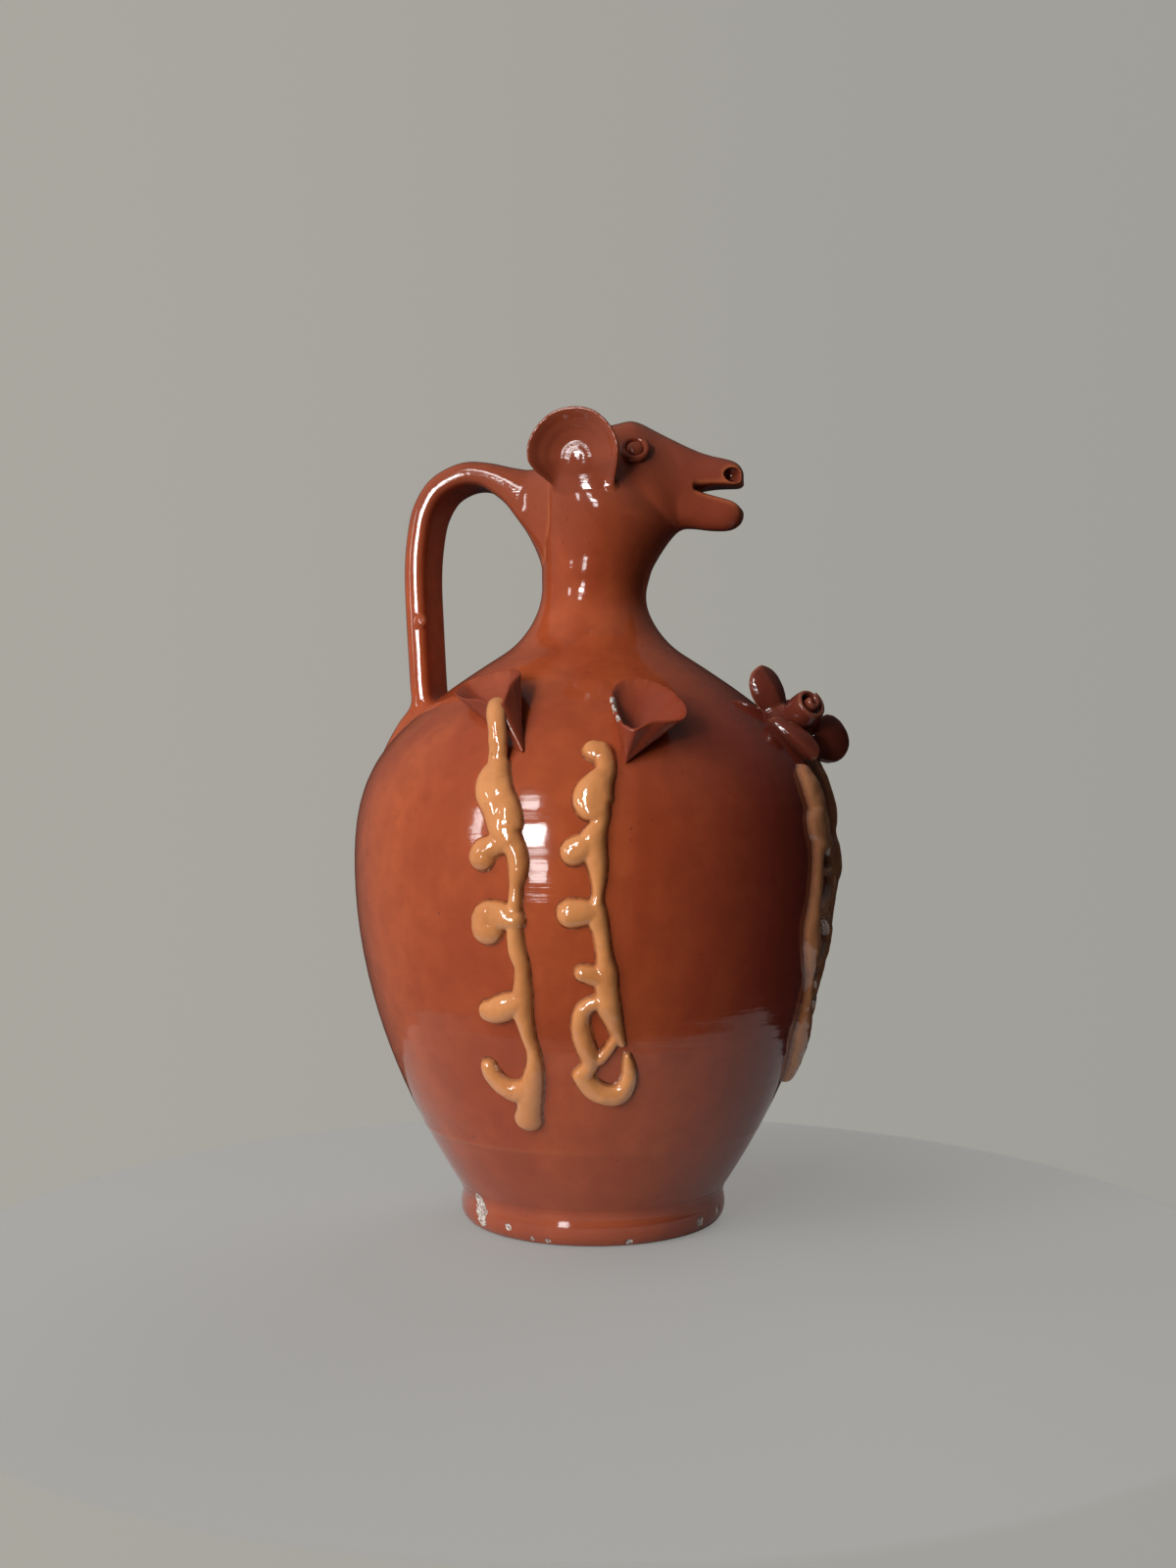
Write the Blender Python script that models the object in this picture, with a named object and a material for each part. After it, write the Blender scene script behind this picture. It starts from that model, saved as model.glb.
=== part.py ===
"""Goat-shaped pitcher: a glazed redware ewer, built from the pieces a potter lutes together.

Metres, +Z up. The origin is the centre of the flat foot, +X is where the muzzle points,
and -Y is the side of the right ear. Every piece keeps JOINT of clearance to its neighbour.
"""

from math import cos, hypot, pi, radians, sin

import bmesh
import bpy
from mathutils import Vector
from mathutils.geometry import interpolate_bezier

JOINT = 0.0003              # clearance between two luted pieces
SIDES = 42                  # facets round the thrown pieces
SAME_POINT = 0.00001        # points this close are one

# Thrown body and neck
FOOT_RADIUS = 0.0482        # at the corner under the belly
FOOT_BEAD = 0.0016          # how far the bottom bead stands proud of the foot
FOOT_HEIGHT = 0.0103
BELLY_RADIUS = 0.0903
BELLY_RISE = 0.1257         # foot corner to the widest ring
SHOULDER_RISE = 0.0768      # widest ring to the seam under the neck
SEAM_RADIUS = 0.0350
NECK_RISE = 0.0272          # seam to the head's base
WAIST_RADIUS = 0.0193
WALL = 0.0052
FLOOR = 0.0080

# Head
HEAD_WALL = 0.0045
MUZZLE_ROOT = 0.0362        # how far forward the two jaws are luted on
MOUTH_HEIGHT = 0.0349       # underside of the upper jaw above the head's base
POUR_BORE = 0.0064          # width of the channel from the head to the lips
POUR_DEPTH = 0.0062         # bottom of that channel below the mouth
NOSTRIL_RADIUS = 0.0024
NOSTRIL_DEPTH = 0.0060
EAR_WIDTH = 0.0316
EAR_HEIGHT = 0.0353
EAR_DISH = 0.0085           # rim to the bottom of the dish
EAR_WALL = 0.0030
EAR_SPREAD = 0.0285         # central plane to the middle of the ear's rim
EAR_PLACE = -0.0016         # the ear's middle, forward of the neck's axis
EAR_RISE = 0.0437           # and above the head's base
EAR_FLARE = 16.0            # degrees that the ear's top leans out
EYE_RING_DIAMETER = 0.0098
EYE_RING_BEAD = 0.0017
EYE_SPREAD = 0.0164         # central plane to the eye's seat
EYE_PLACE = 0.0203          # the eye's seat, forward of the neck's axis
EYE_RISE = 0.0473           # and above the head's base
EYE_PROUD = 0.0012          # how far ring and pellet stand proud of the cheek

# Handle
STRAP_WIDTH = 0.0255
STRAP_THICKNESS = 0.0100
STRAP_REACH = 0.0739        # central axis to the strap's outer face
STRAP_RISE = 0.0484         # top of the strap above the head's base
STRAP_SQUARENESS = 0.62     # 1 is a round section, 0 a square one

# Leaves, flower and slip strands
LEAF_SPAN = 0.0250          # end to end along the rim
LEAF_HEIGHT = 0.0370        # top of the rim to the point
LEAF_STAND = 0.0100         # how far the rim's tip stands off the wall
LEAF_WALL = 0.0021
BACK_LEAF_DROP = 0.0150     # each leaf's place below the seam
SIDE_LEAF_DROP = 0.0205
FLOWER_HEIGHT = 0.0260      # flower's base below the seam
FLOWER_TILT = 38.0          # degrees that its axis rises above the horizontal
STEM_LENGTH = 0.0075
STEM_RADIUS = 0.0060
PETAL_LENGTH = 0.0200
PETAL_WIDTH = 0.0125
PETAL_TAPER = 0.42          # how much narrower its root is than its middle
PETAL_CUP = 0.0022          # how far the petal's rim curls forward
PETAL_THICKNESS = 0.0040
BUD_RADIUS = 0.0062
BUD_LENGTH = 0.0115
BUD_DROP = 0.0028           # how far its axis sits below the stem's
STRAND_WIDTH = 0.0066
KNOB_RELIEF = 1.15          # knobs stand this much prouder than the line
STRAND_RELIEF = 0.0034      # how far the slip stands proud of the wall

FOOT_CORNER_Z = FOOT_HEIGHT
BELLY_Z = FOOT_CORNER_Z + BELLY_RISE
SEAM_Z = BELLY_Z + SHOULDER_RISE
HEAD_Z = SEAM_Z + NECK_RISE

REDWARE = (0.342, 0.074, 0.026)
REDWARE_DARK = (0.205, 0.045, 0.026)
OCHRE_SLIP = (0.507, 0.190, 0.062)


def clear_scene():
    for obj in list(bpy.data.objects):
        bpy.data.objects.remove(obj, do_unlink=True)


def make_material(name, colour, roughness):
    material = bpy.data.materials.new(name)
    material.use_nodes = True
    shader = material.node_tree.nodes["Principled BSDF"]
    shader.inputs["Base Color"].default_value = (*colour, 1.0)
    shader.inputs["Roughness"].default_value = roughness
    shader.inputs["Metallic"].default_value = 0.0
    return material


def add_piece(name, bm, material):
    """A named piece from a bmesh, shaded smooth and held by the pitcher's empty."""
    bm.normal_update()
    bmesh.ops.recalc_face_normals(bm, faces=bm.faces)
    mesh = bpy.data.meshes.new(name)
    bm.to_mesh(mesh)
    bm.free()
    mesh.shade_smooth()
    mesh.set_sharp_from_angle(angle=radians(40))
    mesh.materials.append(material)
    piece = bpy.data.objects.new(name, mesh)
    bpy.context.scene.collection.objects.link(piece)
    piece.parent = bpy.data.objects.get("pitcher")
    return piece


def add_cutter(name, bm):
    cutter = add_piece(name, bm, bpy.data.materials["redware"])
    cutter.hide_render = True
    cutter.display_type = "WIRE"
    return cutter


def cut(piece, *cutters, solver="EXACT"):
    for cutter in cutters:
        modifier = piece.modifiers.new(f"cut by {cutter.name}", "BOOLEAN")
        modifier.operation = "DIFFERENCE"
        modifier.solver = solver
        modifier.object = cutter


def loft(rings):
    """A closed body through rings of equally many points, with both ends capped."""
    bm = bmesh.new()
    loops = [[bm.verts.new(point) for point in ring] for ring in rings]
    count = len(loops[0])
    for low, high in zip(loops, loops[1:]):
        for i in range(count):
            j = (i + 1) % count
            bm.faces.new((low[i], low[j], high[j], high[i]))
    bm.faces.new(loops[0])
    bm.faces.new(loops[-1])
    return bm


def turned(outline, hollow=False):
    """A body of revolution round Z. Its outline starts and ends on the axis, or is a loop if hollow."""
    bm = bmesh.new()
    points = [bm.verts.new((radius, 0.0, height)) for radius, height in outline]
    edges = [bm.edges.new(pair) for pair in zip(points, points[1:] + points[:1] * hollow)]
    bmesh.ops.spin(
        bm, geom=points + edges, cent=(0, 0, 0), axis=(0, 0, 1), angle=2 * pi, steps=SIDES, use_merge=True
    )
    bmesh.ops.remove_doubles(bm, verts=bm.verts, dist=SAME_POINT)
    return bm


def smooth_path(points, steps):
    """Points on a curve through the given ones, with steps points to each stretch."""
    found = []
    last = len(points) - 1
    for i in range(last):
        before, start = points[max(i - 1, 0)], points[i]
        end, after = points[i + 1], points[min(i + 2, last)]
        for k in range(steps):
            t = k / steps
            found.append(tuple(
                b + 0.5 * t * (c - a + t * (2 * a - 5 * b + 4 * c - d + t * (3 * (b - c) + d - a)))
                for a, b, c, d in zip(before, start, end, after)
            ))
    return found + [tuple(points[-1])]


def bezier(start, start_handle, end_handle, end, count):
    corners = [Vector((r, 0.0, z)) for r, z in (start, start_handle, end_handle, end)]
    return [(point.x, point.z) for point in interpolate_bezier(*corners, count)]


def belly_outline():
    """The outer wall from the foot's corner to the seam, as (radius, height)."""
    swell = BELLY_RADIUS - FOOT_RADIUS
    lower = bezier(
        (FOOT_RADIUS, FOOT_CORNER_Z),
        (FOOT_RADIUS + 0.68 * swell, FOOT_CORNER_Z + 0.33 * BELLY_RISE),
        (BELLY_RADIUS, BELLY_Z - 0.325 * BELLY_RISE),
        (BELLY_RADIUS, BELLY_Z),
        10,
    )
    close = BELLY_RADIUS - SEAM_RADIUS
    upper = bezier(
        (BELLY_RADIUS, BELLY_Z),
        (BELLY_RADIUS, BELLY_Z + 0.471 * SHOULDER_RISE),
        (SEAM_RADIUS + 0.761 * close, SEAM_Z - 0.353 * SHOULDER_RISE),
        (SEAM_RADIUS, SEAM_Z),
        11,
    )
    return lower + upper[1:]


def neck_outline():
    """The outer wall from the seam to the head's base."""
    close = SEAM_RADIUS - WAIST_RADIUS
    return bezier(
        (SEAM_RADIUS, SEAM_Z),
        (SEAM_RADIUS - 0.529 * close, SEAM_Z + 0.19 * NECK_RISE),
        (WAIST_RADIUS, HEAD_Z - 0.42 * NECK_RISE),
        (WAIST_RADIUS, HEAD_Z),
        7,
    )


def offset_outline(outline, distance):
    """The outline moved inwards, square to itself."""
    moved = []
    for i, (radius, height) in enumerate(outline):
        before, after = outline[max(i - 1, 0)], outline[min(i + 1, len(outline) - 1)]
        along_r, along_z = after[0] - before[0], after[1] - before[1]
        length = hypot(along_r, along_z)
        moved.append((radius - distance * along_z / length, height + distance * along_r / length))
    return moved


def split_at(outline, height):
    """The outline below and above a height, each ending in a point at that height."""
    for i, (low, high) in enumerate(zip(outline, outline[1:])):
        if low[1] <= height < high[1]:
            share = (height - low[1]) / (high[1] - low[1])
            point = (low[0] + share * (high[0] - low[0]), height)
            return outline[:i + 1] + [point], [point] + outline[i + 1:]
    return outline, []


def wall_radius(height):
    """The outer radius of belly and neck at a height."""
    outline = belly_outline() + neck_outline()[1:]
    for low, high in zip(outline, outline[1:]):
        if low[1] <= height <= high[1]:
            return low[0] + (high[0] - low[0]) * (height - low[1]) / (high[1] - low[1])
    return FOOT_RADIUS


def on_wall(angle, height, lift=0.0):
    """A point on the outer wall, at degrees from the front, lifted square to the wall."""
    step = 0.0005
    slope = (wall_radius(height + step) - wall_radius(height - step)) / (2 * step)
    turn = radians(angle)
    normal = Vector((cos(turn), sin(turn), -slope)).normalized()
    radius = wall_radius(height)
    return Vector((radius * cos(turn), radius * sin(turn), height)) + lift * normal


def wall_frame(angle, height):
    """Place on the wall, with its sideways, upwards and outwards directions."""
    place = on_wall(angle, height)
    outward = (on_wall(angle, height, 0.01) - place).normalized()
    sideways = Vector((-sin(radians(angle)), cos(radians(angle)), 0.0))
    return place, sideways, outward.cross(sideways), outward


def make_body(material):
    inner = offset_outline(belly_outline() + neck_outline()[1:], WALL)
    inner_wall = [point for point in split_at(inner, SEAM_Z)[0] if point[1] > 1.4 * FLOOR]
    foot = [
        (FOOT_RADIUS - 0.0003, 0.7 * FOOT_HEIGHT),
        (FOOT_RADIUS + 0.3 * FOOT_BEAD, 0.42 * FOOT_HEIGHT),
        (FOOT_RADIUS + FOOT_BEAD, 0.24 * FOOT_HEIGHT),
        (FOOT_RADIUS + 0.8 * FOOT_BEAD, 0.08 * FOOT_HEIGHT),
        (FOOT_RADIUS, 0.0),
        (0.0, 0.0),
    ]
    floor = [(0.0, FLOOR), (0.8 * inner_wall[0][0], FLOOR)]
    return add_piece("body", turned(floor + inner_wall + belly_outline()[::-1] + foot), material)


def make_neck(material):
    base = SEAM_Z + JOINT
    inner = offset_outline(belly_outline() + neck_outline()[1:], WALL)
    inner_wall = split_at(inner, base)[1]
    outer_wall = split_at(neck_outline(), base)[1]
    inner_wall[-1] = (WAIST_RADIUS - WALL, HEAD_Z)
    return add_piece("neck", turned(inner_wall + outer_wall[::-1], hollow=True), material)


def make_wall_seat():
    """The wall grown by the joint's clearance, which cuts the seat of whatever is luted on it."""
    grown = offset_outline(belly_outline() + neck_outline()[1:], -JOINT)
    outline = [(0.0, HEAD_Z), (grown[-1][0], HEAD_Z)] + grown[-2::-1] + [(0.0, grown[0][1])]
    return add_cutter("wall_seat", turned(outline))


# Upper jaw: distance before its root, height above the mouth, and half width
UPPER_JAW = [
    (0.0000, 0.0158, 0.0104),
    (0.0050, 0.0135, 0.0086),
    (0.0100, 0.0116, 0.0074),
    (0.0150, 0.0100, 0.0066),
    (0.0185, 0.0077, 0.0060),
    (0.0208, 0.0056, 0.0050),
    (0.0219, 0.0040, 0.0036),
]
# Lower jaw: distance before its root, the mouth's gap, its depth below the mouth, and half width
LOWER_JAW = [
    (0.0000, 0.0000, 0.0155, 0.0104),
    (0.0048, 0.0003, 0.0159, 0.0090),
    (0.0098, 0.0031, 0.0163, 0.0078),
    (0.0158, 0.0047, 0.0159, 0.0069),
    (0.0192, 0.0059, 0.0143, 0.0060),
    (0.0212, 0.0075, 0.0119, 0.0040),
]

# Back and front of the head's slices in side view, above the head's base, and their half width
HEAD_SLICES = [
    (-0.0195, 0.0000, 0.0195, 0.0000, 0.0195),
    (-0.0200, 0.0115, 0.0262, 0.0102, 0.0200),
    (-0.0200, 0.0255, 0.0285, 0.0140, 0.0206),
    (-0.0185, 0.0400, 0.0300, 0.0165, 0.0210),
    (-0.0125, 0.0525, 0.0312, 0.0178, 0.0208),
    (-0.0020, 0.0595, 0.0322, 0.0186, 0.0198),
    (0.0090, 0.0608, 0.0332, 0.0189, 0.0183),
    (0.0165, 0.0625, 0.0340, 0.0191, 0.0168),
    (0.0215, 0.0588, 0.0347, 0.0192, 0.0152),
    (0.0290, 0.0548, 0.0355, 0.0193, 0.0128),
    (0.0362, 0.0507, 0.0362, 0.0194, 0.0105),
]
HEAD_POINTS = 24


def head_slice(slice_sizes, grow):
    """One slice of the head: a rounded outline from its back point to its front point."""
    back_x, back_z, front_x, front_z, half_width = slice_sizes
    back = Vector((back_x, 0.0, HEAD_Z + back_z))
    front = Vector((front_x, 0.0, HEAD_Z + front_z))
    middle, reach = (back + front) / 2, (front - back) / 2
    along = reach.normalized() * (reach.length + grow)
    across = Vector((0.0, half_width + grow, 0.0))
    ring = []
    for i in range(HEAD_POINTS):
        turn = 2 * pi * i / HEAD_POINTS
        ring.append(middle + along * cos(turn) + across * sin(turn))
    return ring


def head_sizes():
    """The slices, with the first taking the neck's radius and the last the muzzle's root."""
    slices = [list(sizes) for sizes in HEAD_SLICES]
    slices[0] = [-WAIST_RADIUS, 0.0, WAIST_RADIUS, 0.0, WAIST_RADIUS]
    top, bottom = MOUTH_HEIGHT + UPPER_JAW[0][1], MOUTH_HEIGHT - LOWER_JAW[0][2]
    slices[-1][:4] = [MUZZLE_ROOT, top, MUZZLE_ROOT, bottom]
    return slices


def head_rings(grow, steps=2):
    return [head_slice(sizes, grow) for sizes in smooth_path(head_sizes(), steps)]


def shifted(ring, x=0.0, y=0.0, z=0.0):
    return [point + Vector((x, y, z)) for point in ring]


def make_pour_channel():
    """Cutter for the channel that leads from the hollow head out between the lips."""
    half = POUR_BORE / 2
    high = HEAD_Z + MOUTH_HEIGHT
    low = high - POUR_DEPTH
    outline = [(half * cos(radians(a)), low + half + half * sin(radians(a))) for a in range(180, 361, 30)]
    outline += [(half, high), (-half, high)]
    rings = [[(x, y, z) for y, z in outline] for x in (MUZZLE_ROOT / 2, 2 * MUZZLE_ROOT)]
    return add_cutter("pour_channel", loft(rings))


def make_head(material, channel):
    head = add_piece("head", loft([shifted(ring, z=JOINT if i == 0 else 0.0)
                                   for i, ring in enumerate(head_rings(0.0))]), material)
    hollow = head_rings(-HEAD_WALL, 1)
    inner_end = MUZZLE_ROOT - HEAD_WALL
    kept = [ring for ring in hollow if max(point.x for point in ring) < inner_end + 0.002]
    throat = shifted(hollow[0], z=-0.004)
    cut(head, add_cutter("head_hollow", loft([throat] + kept)), channel)
    return head


def make_head_seat():
    """The head grown by the joint's clearance, for ears, eyes and handle."""
    rings = head_rings(JOINT)
    return add_cutter("head_seat", loft([shifted(rings[0], z=-0.002)] + rings))


JAW_POINTS = 12


def jaw_rings(slices):
    """Half-round slices of a jaw, each from its flat side towards the mouth to its round side."""
    rings = []
    for ahead, flat, round_side, half_width in smooth_path(slices, 2):
        ring = []
        for i in range(JAW_POINTS + 1):
            turn = pi * i / JAW_POINTS
            height = HEAD_Z + flat + (round_side - flat) * sin(turn) ** 0.8
            ring.append(Vector((MUZZLE_ROOT + JOINT + ahead, half_width * cos(turn), height)))
        rings.append(ring)
    return rings


def make_upper_jaw(material):
    slices = [(ahead, MOUTH_HEIGHT, MOUTH_HEIGHT + rise, half_width) for ahead, rise, half_width in UPPER_JAW]
    jaw = add_piece("upper_jaw", loft(jaw_rings(slices)), material)
    for side, name in ((-1, "right"), (1, "left")):
        ahead, rise, half_width = UPPER_JAW[-3]
        mouth = Vector((MUZZLE_ROOT + ahead + NOSTRIL_RADIUS / 2, side * half_width,
                        HEAD_Z + MOUTH_HEIGHT + 0.48 * rise))
        inward = Vector((-0.55, -0.75 * side, 0.1)).normalized()
        bm = bmesh.new()
        bmesh.ops.create_uvsphere(bm, u_segments=10, v_segments=6, radius=1.0)
        turn = inward.to_track_quat("Z", "Y")
        for vert in bm.verts:
            x, y, z = vert.co
            vert.co = mouth + turn @ Vector((x * NOSTRIL_RADIUS, y * NOSTRIL_RADIUS, z * NOSTRIL_DEPTH))
        cut(jaw, add_cutter(f"nostril_{name}", bm))
    return jaw


def make_lower_jaw(material, channel):
    slices = [(ahead, MOUTH_HEIGHT - JOINT - gap, MOUTH_HEIGHT - depth, half_width)
              for ahead, gap, depth, half_width in LOWER_JAW]
    jaw = add_piece("lower_jaw", loft(jaw_rings(slices)), material)
    cut(jaw, channel)
    return jaw


def make_ear(side, name, material, head_seat):
    """A dished disc that faces sideways, with its lower back luted to the cheek."""
    bm = bmesh.new()
    profile = []
    for i in range(6):
        share = i / 5
        profile.append((share, share ** 2.4 * EAR_DISH))
    outer = [(share, depth - EAR_WALL * (1.6 - share)) for share, depth in profile]
    outline = profile + [(1.03, EAR_DISH - 0.4 * EAR_WALL)] + outer[::-1]
    count = 20
    tilt = radians(EAR_FLARE)
    centre = Vector((EAR_PLACE, side * (EAR_SPREAD - EAR_DISH), HEAD_Z + EAR_RISE))
    loops = []
    for share, depth in outline:
        if share == 0.0:
            loops.append([bm.verts.new(centre + Vector((0.0, side * depth, 0.0)))])
            continue
        ring = []
        for i in range(count):
            turn = 2 * pi * i / count
            x = share * EAR_WIDTH / 2 * cos(turn)
            up = share * EAR_HEIGHT / 2 * sin(turn)
            out = depth
            ring.append(bm.verts.new(centre + Vector((
                x, side * (out * cos(tilt) + up * sin(tilt)), up * cos(tilt) - out * sin(tilt)
            ))))
        loops.append(ring)
    for low, high in zip(loops, loops[1:]):
        for i in range(count):
            j = (i + 1) % count
            if len(low) == 1:
                bm.faces.new((low[0], high[i], high[j]))
            elif len(high) == 1:
                bm.faces.new((low[i], low[j], high[0]))
            else:
                bm.faces.new((low[i], low[j], high[j], high[i]))
    ear = add_piece(name, bm, material)
    cut(ear, head_seat)
    return ear


def bead(bm, angle, height, radius, relief):
    """Points of a rounded blob that straddles the wall."""
    place, sideways, upwards, outwards = wall_frame(angle, height)
    bm.verts.new(place + relief * outwards)
    for level, flat, rise in ((0, 1.0, -0.4), (1, 0.84, 0.62)):
        for i in range(7):
            turn = 2 * pi * (i + 0.5 * level) / 7
            spread = radius * flat * (cos(turn) * sideways + sin(turn) * upwards)
            bm.verts.new(place + spread + relief * rise * outwards)


def add_link(name, ends, collection):
    """A run of slip between two blobs: the hull of both, as a guide that its strand is joined with."""
    bm = bmesh.new()
    for end in ends:
        bead(bm, *end)
    bmesh.ops.convex_hull(bm, input=bm.verts)
    loose = [vert for vert in bm.verts if not vert.link_faces]
    bmesh.ops.delete(bm, geom=loose, context="VERTS")
    link = add_cutter(name, bm)
    bpy.context.scene.collection.objects.unlink(link)
    collection.objects.link(link)


def make_strand(name, line, knobs, side, material, wall_seat):
    """A line of slip trailed down the wall, with the knobs and hooks that the trailer left beside it."""
    rings = []
    route = smooth_path([(side * angle, SEAM_Z * (1 - drop)) for angle, drop in line], 2)
    for i, (angle, height) in enumerate(route):
        place, sideways, upwards, outwards = wall_frame(angle, height)
        before = on_wall(*route[max(i - 1, 0)])
        after = on_wall(*route[min(i + 1, len(route) - 1)])
        across = (after - before).cross(outwards).normalized()
        share = min(1.0, 0.6 + 0.4 * min(i, len(route) - 1 - i))
        ring = []
        for k in range(6):
            turn = 2 * pi * k / 6
            ring.append(place + share * (STRAND_WIDTH / 2 * cos(turn) * across
                                         + STRAND_RELIEF * sin(turn) * outwards))
        rings.append(ring)
    strand = add_piece(name, loft(rings), material)
    beads = bpy.data.collections.new(f"{name}_beads")
    bpy.context.scene.collection.children.link(beads)
    for i, chain in enumerate(knobs):
        for j, ends in enumerate(zip(chain, chain[1:])):
            # The start sits inside the bead before it, so that no two faces fall together
            add_link(f"{name}_bead_{i}_{j}", [
                (side * angle, SEAM_Z * (1 - drop), STRAND_WIDTH * radius * inside,
                 STRAND_RELIEF * KNOB_RELIEF * inside)
                for (angle, drop, radius), inside in zip(ends, (0.93, 1.0))
            ], beads)
    modifier = strand.modifiers.new("join beads", "BOOLEAN")
    modifier.operation = "UNION"
    modifier.solver = "EXACT"
    modifier.operand_type = "COLLECTION"
    modifier.collection = beads
    cut(strand, wall_seat, solver="MANIFOLD")


# Slip strands: the line as (degrees from the front, drop below the seam as a share of its height),
# then each knob as a chain of (degrees, drop, radius as a share of the line's width) outwards
BACK_STRAND = (
    [(-99.5, 0.174), (-98.5, 0.235), (-95.5, 0.296), (-93.0, 0.362), (-94.6, 0.451), (-93.2, 0.508),
     (-94.2, 0.583), (-92.4, 0.658), (-92.6, 0.719), (-94.6, 0.775)],
    [[(-97.6, 0.244, 0.52), (-101.8, 0.230, 0.64)],
     [(-96.5, 0.277, 0.62), (-93.8, 0.296, 0.70)],
     [(-93.6, 0.357, 0.45), (-97.0, 0.362, 0.52), (-100.8, 0.343, 0.73)],
     [(-94.6, 0.465, 0.45), (-100.4, 0.449, 0.83)],
     [(-94.0, 0.602, 0.45), (-97.0, 0.606, 0.52), (-100.0, 0.590, 0.77)],
     [(-93.4, 0.738, 0.48), (-100.2, 0.719, 0.59), (-103.4, 0.686, 0.47)],
     [(-93.8, 0.742, 0.59), (-94.9, 0.780, 0.85)]],
)
SIDE_STRAND = (
    [(-74.2, 0.179), (-74.4, 0.291), (-75.2, 0.385), (-74.8, 0.442), (-73.6, 0.498), (-73.2, 0.550),
     (-70.8, 0.606), (-69.2, 0.639)],
    [[(-74.2, 0.207, 0.70), (-74.2, 0.179, 0.79)],
     [(-75.8, 0.258, 0.70), (-77.2, 0.240, 0.97)],
     [(-75.4, 0.381, 0.45), (-78.0, 0.376, 0.52), (-80.7, 0.336, 0.79)],
     [(-75.2, 0.456, 0.45), (-80.7, 0.432, 0.83)],
     [(-73.8, 0.545, 0.45), (-77.4, 0.529, 0.70)],
     [(-72.6, 0.564, 0.45), (-77.6, 0.580, 0.52), (-78.3, 0.611, 0.52), (-76.6, 0.646, 0.52),
      (-69.6, 0.639, 0.41)],
     [(-76.6, 0.646, 0.52), (-78.2, 0.686, 0.50), (-74.4, 0.724, 0.52), (-69.6, 0.719, 0.52),
      (-67.3, 0.681, 0.38)]],
)
NEAR_FLOWER_STRAND = (
    [(-8.6, 0.216), (-13.6, 0.263), (-15.0, 0.320), (-13.6, 0.376), (-12.2, 0.423), (-11.6, 0.470),
     (-10.2, 0.526), (-6.6, 0.583), (-2.6, 0.634), (2.6, 0.705)],
    [[(-14.2, 0.282, 0.48), (-9.4, 0.287, 0.70)],
     [(-14.6, 0.343, 0.48), (-9.6, 0.357, 0.59), (-10.2, 0.390, 0.48), (-13.0, 0.395, 0.45)],
     [(-12.0, 0.456, 0.45), (-7.4, 0.446, 0.73)],
     [(-9.6, 0.540, 0.45), (-5.6, 0.526, 0.65)],
     [(-3.6, 0.620, 0.45), (1.8, 0.611, 0.62)]],
)
FAR_FLOWER_STRAND = (
    [(8.6, 0.216), (13.2, 0.263), (14.4, 0.320), (13.8, 0.395), (14.6, 0.470), (13.6, 0.536),
     (14.8, 0.602), (15.4, 0.667)],
    [[(13.8, 0.282, 0.48), (18.4, 0.280, 0.73)],
     [(14.2, 0.343, 0.48), (19.0, 0.338, 0.76)],
     [(14.0, 0.432, 0.45), (18.8, 0.432, 0.76)],
     [(14.0, 0.517, 0.45), (18.6, 0.522, 0.65)],
     [(15.0, 0.630, 0.48), (19.6, 0.616, 0.62)]],
)


def make_eye(side, name, material, head_seat):
    """A rolled ring of clay with a pellet pressed into it."""
    centre = Vector((EYE_PLACE, side * EYE_SPREAD, HEAD_Z + EYE_RISE))
    outward = Vector((0.22, side * 0.89, 0.41)).normalized()
    turn = outward.to_track_quat("Z", "Y")
    bead_radius = EYE_RING_BEAD / 2
    middle = EYE_RING_DIAMETER / 2 - bead_radius
    bm = bmesh.new()
    section = []
    for k in range(8):
        around = 2 * pi * k / 8
        out = EYE_PROUD - bead_radius + bead_radius * 1.6 * sin(around)
        section.append((middle + bead_radius * cos(around), out))
    loops = []
    for i in range(20):
        angle = 2 * pi * i / 20
        loops.append([
            bm.verts.new(centre + turn @ Vector((r * cos(angle), r * sin(angle), out)))
            for r, out in section
        ])
    for low, high in zip(loops, loops[1:] + loops[:1]):
        for k in range(8):
            bm.faces.new((low[k], low[(k + 1) % 8], high[(k + 1) % 8], high[k]))
    ring = add_piece(f"eye_ring_{name}", bm, material)
    cut(ring, head_seat)
    bm = bmesh.new()
    bmesh.ops.create_uvsphere(bm, u_segments=16, v_segments=8, radius=1.0)
    radius = EYE_RING_DIAMETER / 2 - EYE_RING_BEAD - JOINT
    for vert in bm.verts:
        x, y, z = vert.co
        out = EYE_PROUD + (0.9 * z - 0.4) * radius
        vert.co = centre + turn @ Vector((radius * x, radius * y, out))
    pellet = add_piece(f"eye_pellet_{name}", bm, material)
    cut(pellet, head_seat)


# Handle stations from the head's back: how far out the outer face lies, as a share of the way to
# the strap's reach, its height as a share of the strap's rise, and the strap's thickness. The shaft's
# heights count from the seam, and the tail's stations are how far down the shoulder, as a share of
# its rise, and how far proud of it, as a share of the strap's thickness.
HANDLE_TOP = [
    (-0.10, 0.888, 3.10),
    (0.07, 0.915, 2.15),
    (0.21, 0.944, 1.38),
    (0.377, 0.988, 1.02),
    (0.547, 1.000, 1.0),
    (0.716, 0.936, 1.0),
    (0.843, 0.826, 1.0),
    (0.940, 0.634, 1.0),
    (0.983, 0.393, 1.0),
    (1.000, 0.099, 1.0),
]
HANDLE_SHAFT = [(0.985, 0.256, 1.0), (0.959, -0.202, 1.0)]
HANDLE_TAIL = [(0.234, 1.05), (0.319, 0.74), (0.423, 0.44), (0.521, 0.20), (0.612, -0.12)]


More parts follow.
